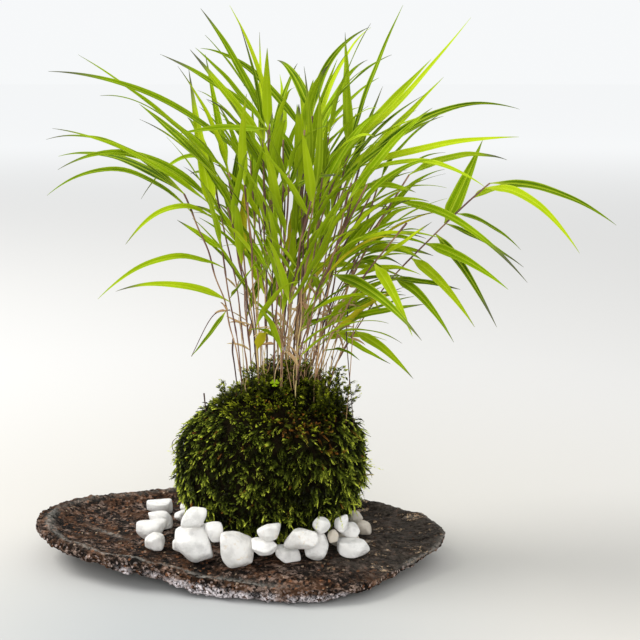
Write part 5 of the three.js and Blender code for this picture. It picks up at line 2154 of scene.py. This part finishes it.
@dataclass
class Pebbles:
    """Tumbled marble pebbles, each in the place of its solid."""

    roundness: float = 13.0
    facets: int = 12
    facet_tilt: float = 1.15
    facet_reach: Span = (0.76, 0.95)
    dents: float = 0.028
    # Length, width, height and turn of each pebble
    SIZES = (
        (20, 19, 10, 0.1), (18, 14, 11, 0.5), (20, 17, 14, 0.9), (14, 12, 12, 0.2), (10, 10, 12, 0.3),
        (25, 19, 26, 0.2), (16, 13, 10, 0.3), (23, 15, 25, 0.1), (11, 10, 15, 0.4), (18, 14, 11, 0.2),
        (18, 13, 11, 0.1), (17, 12, 22, 0.2), (8, 7, 8, 0.6), (24, 14, 11, -0.2), (9, 9, 13, 0.5),
        (20, 13, 12, 0.2), (16, 12, 11, 0.2), (15, 12, 10, 0.8), (18, 12, 13, 0.2), (13, 11, 10, 0.9),
        (16, 11, 12, 0), (24, 14, 14, -0.2), (13, 11, 11, 0.3), (14, 10, 11, 0.4), (13, 11, 10, 0.7),
        (19, 15, 12, 0.6), (21, 16, 14, 0.2), (18, 15, 12, 0.9), (20, 15, 13, 0.4),
    )
    LARGE = 18
    BEIGE = (13, 16, 17, 25, 28)
    FAINT_STAIN = 0.06
    # Numbers of the stained pebbles, with how much the stain shows
    STAINS = {4: 0.2, 8: 0.5, 13: 0.6, 16: 0.6, 17: 0.7, 21: 0.5, 22: 0.5, 25: 0.5, 28: 0.6, 3: 0.2}

    def body(self, index: int, directions: Array) -> Array:
        """Gives a pebble's points about its middle.

        Args:
            index: Number of the pebble, from 0.
            directions: Unit directions.

        Returns:
            One point a direction.
        """
        length, width, height, turn = self.SIZES[index]
        draws = Draws(Seed.PEBBLE.value + index)
        planes = [np.eye(3)[k] * sign for k in range(3) for sign in (1, -1)]
        for _ in range(self.facets):
            tilt = draws.between(-self.facet_tilt, self.facet_tilt)
            planes.append(towards(draws.between(0, 2 * math.pi), tilt))
        half = np.array([length, width, height]) / 2
        # The six sides keep their reach and the facets cut in
        reach = [np.linalg.norm(plane * half) for plane in planes]
        reach = [r * (1 if i < 6 else draws.between(*self.facet_reach)) for i, r in enumerate(reach)]
        shares = np.maximum(0, directions @ np.array(planes).T / np.array(reach))
        radius = (shares**self.roundness).sum(axis=1) ** (-1 / self.roundness)
        points = directions * radius[:, None]
        points *= 1 + self.dents * cloud_noise(points + 50 * index, 7, 3)[:, None]
        cos, sin = math.cos(turn), math.sin(turn)
        return points @ np.array([[cos, sin, 0], [-sin, cos, 0], [0, 0, 1]])

    def build(self, white: Material, beige: Material) -> None:
        """Builds the pebbles.

        Args:
            white: Material of the white pebbles.
            beige: Material of the stained ones.
        """
        for index in range(len(self.SIZES)):
            node = f"pebble_{index + 1:02d}"
            directions, faces = globe(5 if self.SIZES[index][0] >= self.LARGE else 4)
            points = self.body(index, directions)
            low, high = (np.array(corner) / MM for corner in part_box(node))
            size = points.max(axis=0) - points.min(axis=0)
            points = (points - points.min(axis=0)) * ((high - low) / size) + low
            is_beige = index + 1 in self.BEIGE
            finish, slot = (beige, Slot.BEIGE_PEBBLE) if is_beige else (white, Slot.WHITE_PEBBLE)
            pile = Pile()
            pile.add(points, faces, stain=self.STAINS.get(index + 1, self.FAINT_STAIN))
            show(pile, f"stone_{index + 1:02d}", [finish], slot, node)


# Small things in the clump


@dataclass
class Litter:
    """Dry straws, torn sheaths and the clover among the stems."""

    ball: Ball
    straws: int = 60
    straw_half: Span = (34, 27)
    straw_height: Span = (14, 74)
    shreds: int = 64
    shred_length: Span = (9, 26)
    shred_width: Span = (1.4, 3.4)
    shred_thickness: float = 0.12
    clover_place: Triple = (6.0, -38.0, 138.5)
    clover_leaflet: float = 3.1
    clover_turns: Triple = (0.5, 2.6, 4.7)
    # Long loose stalks: points along them, radius and place on the culm's colour ramp
    STALKS = (
        (((57, -8, 188), (55, -10, 170), (57, -10, 145), (61, -15, 100)), 0.5, 0.92),
        (((62, -6, 186), (60, -10, 168), (58.2, -10, 138), (55.3, -15, 104)), 0.4, 0.45),
        (((-24.5, 0, 162), (-25.5, 0, 153), (-24, 0, 144), (-21.5, 0, 120)), 0.75, 0.85),
        (((-26, -8, 184), (-36, -10, 183), (-42, -12, 175), (-53, -14, 152)), 0.45, 0.8),
        (((-46, 0, 122), (-45.5, 0, 116), (-45, 1, 110), (-44.5, 2, 100)), 0.6, 0.95),
        (((-60, -10, 79), (-68, -12, 82), (-68.5, -12, 90), (-62, -12, 94)), 0.35, 0.95),
    )

    def strand(self, pile: Pile, marks: Array, radius: float, hue: float) -> None:
        """Adds a thin stalk through a few marks.

        Args:
            pile: Where it goes.
            marks: Points along it.
            radius: Its radius at the thick end.
            hue: Place on the culm's colour ramp.
        """
        place = np.linspace(0, len(marks) - 1, 14)
        points = np.stack([np.interp(place, np.arange(len(marks)), marks[:, k]) for k in range(3)], axis=1)
        for _ in range(3):
            points[1:-1] = 0.25 * points[:-2] + 0.5 * points[1:-1] + 0.25 * points[2:]
        along = unit(np.gradient(points, axis=0))
        across = unit(np.cross(along, np.array([0.2, 0.9, 0.3])))
        face = np.cross(along, across)
        radii = radius * (1 - 0.45 * place / place[-1])
        pile.tube((points, across, face), radii, 6, hue=hue, joint=0.0)

    def straw_marks(self, draws: Draws) -> Array:
        """Draws the course of a short dry straw in the clump.

        Args:
            draws: Its own draws.

        Returns:
            Four points.
        """
        reach, turn = math.sqrt(draws.next()), draws.between(0, 2 * math.pi)
        x = self.ball.clump_x + self.straw_half[0] * reach * math.cos(turn)
        y = self.straw_half[1] * reach * math.sin(turn)
        height = draws.between(*self.straw_height)
        swing = draws.between(0, 2 * math.pi)
        lean = towards(swing) * draws.between(0.05, 0.55) * height
        foot = np.array([x, y, self.ball.height(x, y) - 2])
        bow = np.array([draws.between(-4, 4), draws.between(-4, 4), 0.0])
        courses = ((0, 0, 0), (0.25, 0.35, 1), (0.6, 0.7, 0), (1, 1, 0))
        return np.array([foot + out * lean + up * height * UP + bend * bow for out, up, bend in courses])

    def shred(self, pile: Pile, draws: Draws, grass: Grass) -> None:
        """Adds a torn dry sheath that clings to a culm.

        Args:
            pile: Where it goes.
            draws: Its own draws.
            grass: The clump.
        """
        stem = grass.stems[int(draws.next() * len(grass.stems))]
        share = draws.between(0.1, 0.5)
        root = stem.bend.at(share)
        turn = draws.between(0, 2 * math.pi)
        length = draws.between(*self.shred_length)
        tip = root + towards(turn, draws.between(-0.4, 1.2)) * length
        lift = length * draws.between(0.0, 0.25)
        leaf = Leaf.arched(root, tip, lift, draws.between(*self.shred_width), 0.6)
        shares = np.linspace(0, 1, 9)
        points, across, face = leaf.frames(shares)
        half = leaf.half_width(shares) + 0.1
        curl = draws.between(0.2, 0.9)
        spread = np.linspace(-1, 1, 5)
        body = points[:, None] + across[:, None] * (half[:, None] * spread)[..., None]
        body = body + face[:, None] * (half[:, None] * curl * (spread**2)[None])[..., None]
        under = body - face[:, None] * self.shred_thickness
        pile.sheet(body, under, Skin.CULM, hue=draws.between(0.16, 0.44), joint=0.0)

    def clover(self, finish: Material) -> None:
        """Builds the small clover leaf that grows out of the moss.

        Args:
            finish: Its material.
        """
        pile = Pile()
        middle = np.array(self.clover_place)
        face = unit(np.array([0.0, -0.75, 0.66]))
        right = np.array([1.0, 0.0, 0.0])
        up = np.cross(face, right)
        angle = np.linspace(-0.62, 0.62, 9)
        reach = self.clover_leaflet * (1 - 0.28 * bell(angle, 0.16)) * np.cos(angle * 0.9)
        fan = np.array([[0, k + 1, k + 2] for k in range(len(angle) - 1)])
        faces = np.concatenate([fan, fan[:, ::-1] + len(angle) + 1])
        looks = dict.fromkeys(("age", "dryness", "hue", "joint"), 0.0)
        for turn in self.clover_turns:
            heading = right * math.cos(turn) + up * math.sin(turn)
            aside = np.cross(face, heading)
            rim = middle + face * 0.5 + heading * (reach * np.cos(angle))[:, None]
            rim += aside * (reach * np.sin(angle) * 1.25)[:, None]
            upper = np.vstack([middle, rim])
            points = np.vstack([upper, upper - face * 0.15])
            pile.add(points, faces, along=0.4, across=0.5, tone=0.25, under=0.6, **looks)
        show(pile, "clover_leaf", [finish], Slot.GRASS)

    def build(self, finishes: Sequence[Material], grass: Grass) -> None:
        """Builds the straws and sheaths.

        Args:
            finishes: The leaf and the culm material.
            grass: The clump.
        """
        pile = Pile()
        for marks, radius, hue in self.STALKS:
            self.strand(pile, np.array(marks, dtype=float), radius, hue)
        for number in range(self.straws):
            draws = Draws(Seed.STRAW.value + number)
            marks = self.straw_marks(draws)
            self.strand(pile, marks, draws.between(0.22, 0.5), draws.between(0.12, 0.6))
        for number in range(self.shreds):
            self.shred(pile, Draws(Seed.SHRED.value + number), grass)
        show(pile, "dry_straws", finishes, Slot.GRASS)
        self.clover(finishes[0])


# Studio


@dataclass(frozen=True)
class Lamp:
    """One soft square lamp, with places and size in metres and power in watts."""

    name: str
    place: Triple
    target: Triple
    size: float
    power: float
    colour: Triple

    def hang(self) -> None:
        """Puts the lamp into the scene."""
        data = bpy.data.lights.new(self.name, "AREA")
        data.size, data.energy, data.color = self.size, self.power, self.colour
        lamp = new_object(self.name, data)
        lamp.location = self.place
        aim = Vector(self.target) - Vector(self.place)
        lamp.rotation_euler = aim.to_track_quat("-Z", "Y").to_euler()


@dataclass
class Studio:
    """Camera, floor and light."""

    camera_place: Triple = (0.037, -0.9, 0.347)
    camera_pitch: float = 10.8
    focal_pixels: float = 1295
    picture_pixels: float = 640
    sensor: float = 36.0
    floor_half: float = 40000.0
    sky: Triple = (0.975, 0.99, 1.0)
    sky_strength: float = 0.95
    # The soft light from the upper left and a weak fill from the front
    lamps: tuple = (
        Lamp("key", (-1.6, 0.12, 1.85), (0, 0, 0.14), 1.2, 52.0, (1.0, 0.985, 0.955)),
        Lamp("fill", (0.0, -1.3, 0.55), (0, 0, 0.1), 0.8, 8.0, (1.0, 0.99, 0.98)),
    )

    def camera(self) -> None:
        """Sets the camera in front of the plant, looking slightly down."""
        data = bpy.data.cameras.new("camera")
        data.sensor_width = self.sensor
        data.lens = self.focal_pixels / self.picture_pixels * self.sensor
        data.clip_start = 0.01
        data.clip_end = 100
        camera = new_object("camera", data)
        camera.location = self.camera_place
        camera.rotation_euler = (math.radians(90 - self.camera_pitch), 0, 0)
        bpy.context.scene.camera = camera

    def floor(self) -> None:
        """Lays the pale floor, with its painted shadow and painted fall of light."""
        corners = ((-1, -1, 0), (1, -1, 0), (1, 1, 0), (-1, 1, 0))
        points = np.array(corners) * self.floor_half
        pile = Pile()
        pile.add(points, np.array([[0, 1, 2, 3]]))
        mesh = pile.mesh("floor")
        mesh.materials.append(FloorFinish().build())
        new_object("floor", mesh)

    def light(self) -> None:
        """Hangs the lamps and sets the pale surroundings."""
        for lamp in self.lamps:
            lamp.hang()
        world = bpy.data.worlds.new("surroundings")
        world.use_nodes = True
        sky = world.node_tree.nodes["Background"]
        sky.inputs["Color"].default_value = (*self.sky, 1.0)
        sky.inputs["Strength"].default_value = self.sky_strength
        bpy.context.scene.world = world
        bpy.context.scene.view_settings.view_transform = "Standard"


def main() -> None:
    """Builds the pieces in order, from the tray up."""
    logging.basicConfig(level=logging.INFO, format="%(name)s: %(message)s")
    studio = Studio()
    studio.camera()
    studio.floor()
    studio.light()
    StoneTray().build(StoneFinish().build())
    beige = PebbleFinish(name="beige_marble", body=(0.72, 0.67, 0.59), cool=(0.66, 0.6, 0.5), stained=0.2)
    Pebbles().build(PebbleFinish().build(), beige.build())
    RootBall().dress(SoilFinish().build())
    ball = Ball()
    moss = MossBall(ball)
    moss.bed(MossBedFinish().build())
    moss.side(MossFinish().build())
    top = MossFinish(name="top_moss", leafy=(0.085, 0.105, 0.004), bright=(0.5, 0.54, 0.03))
    moss.cap(top.build())
    grass = Grass(ball)
    grass.grow()
    finishes = [LeafFinish().build(), CulmFinish().build()]
    GrassDresser(grass).build(finishes)
    Litter(ball).build(finishes, grass)


if __name__ == "__main__":
    main()
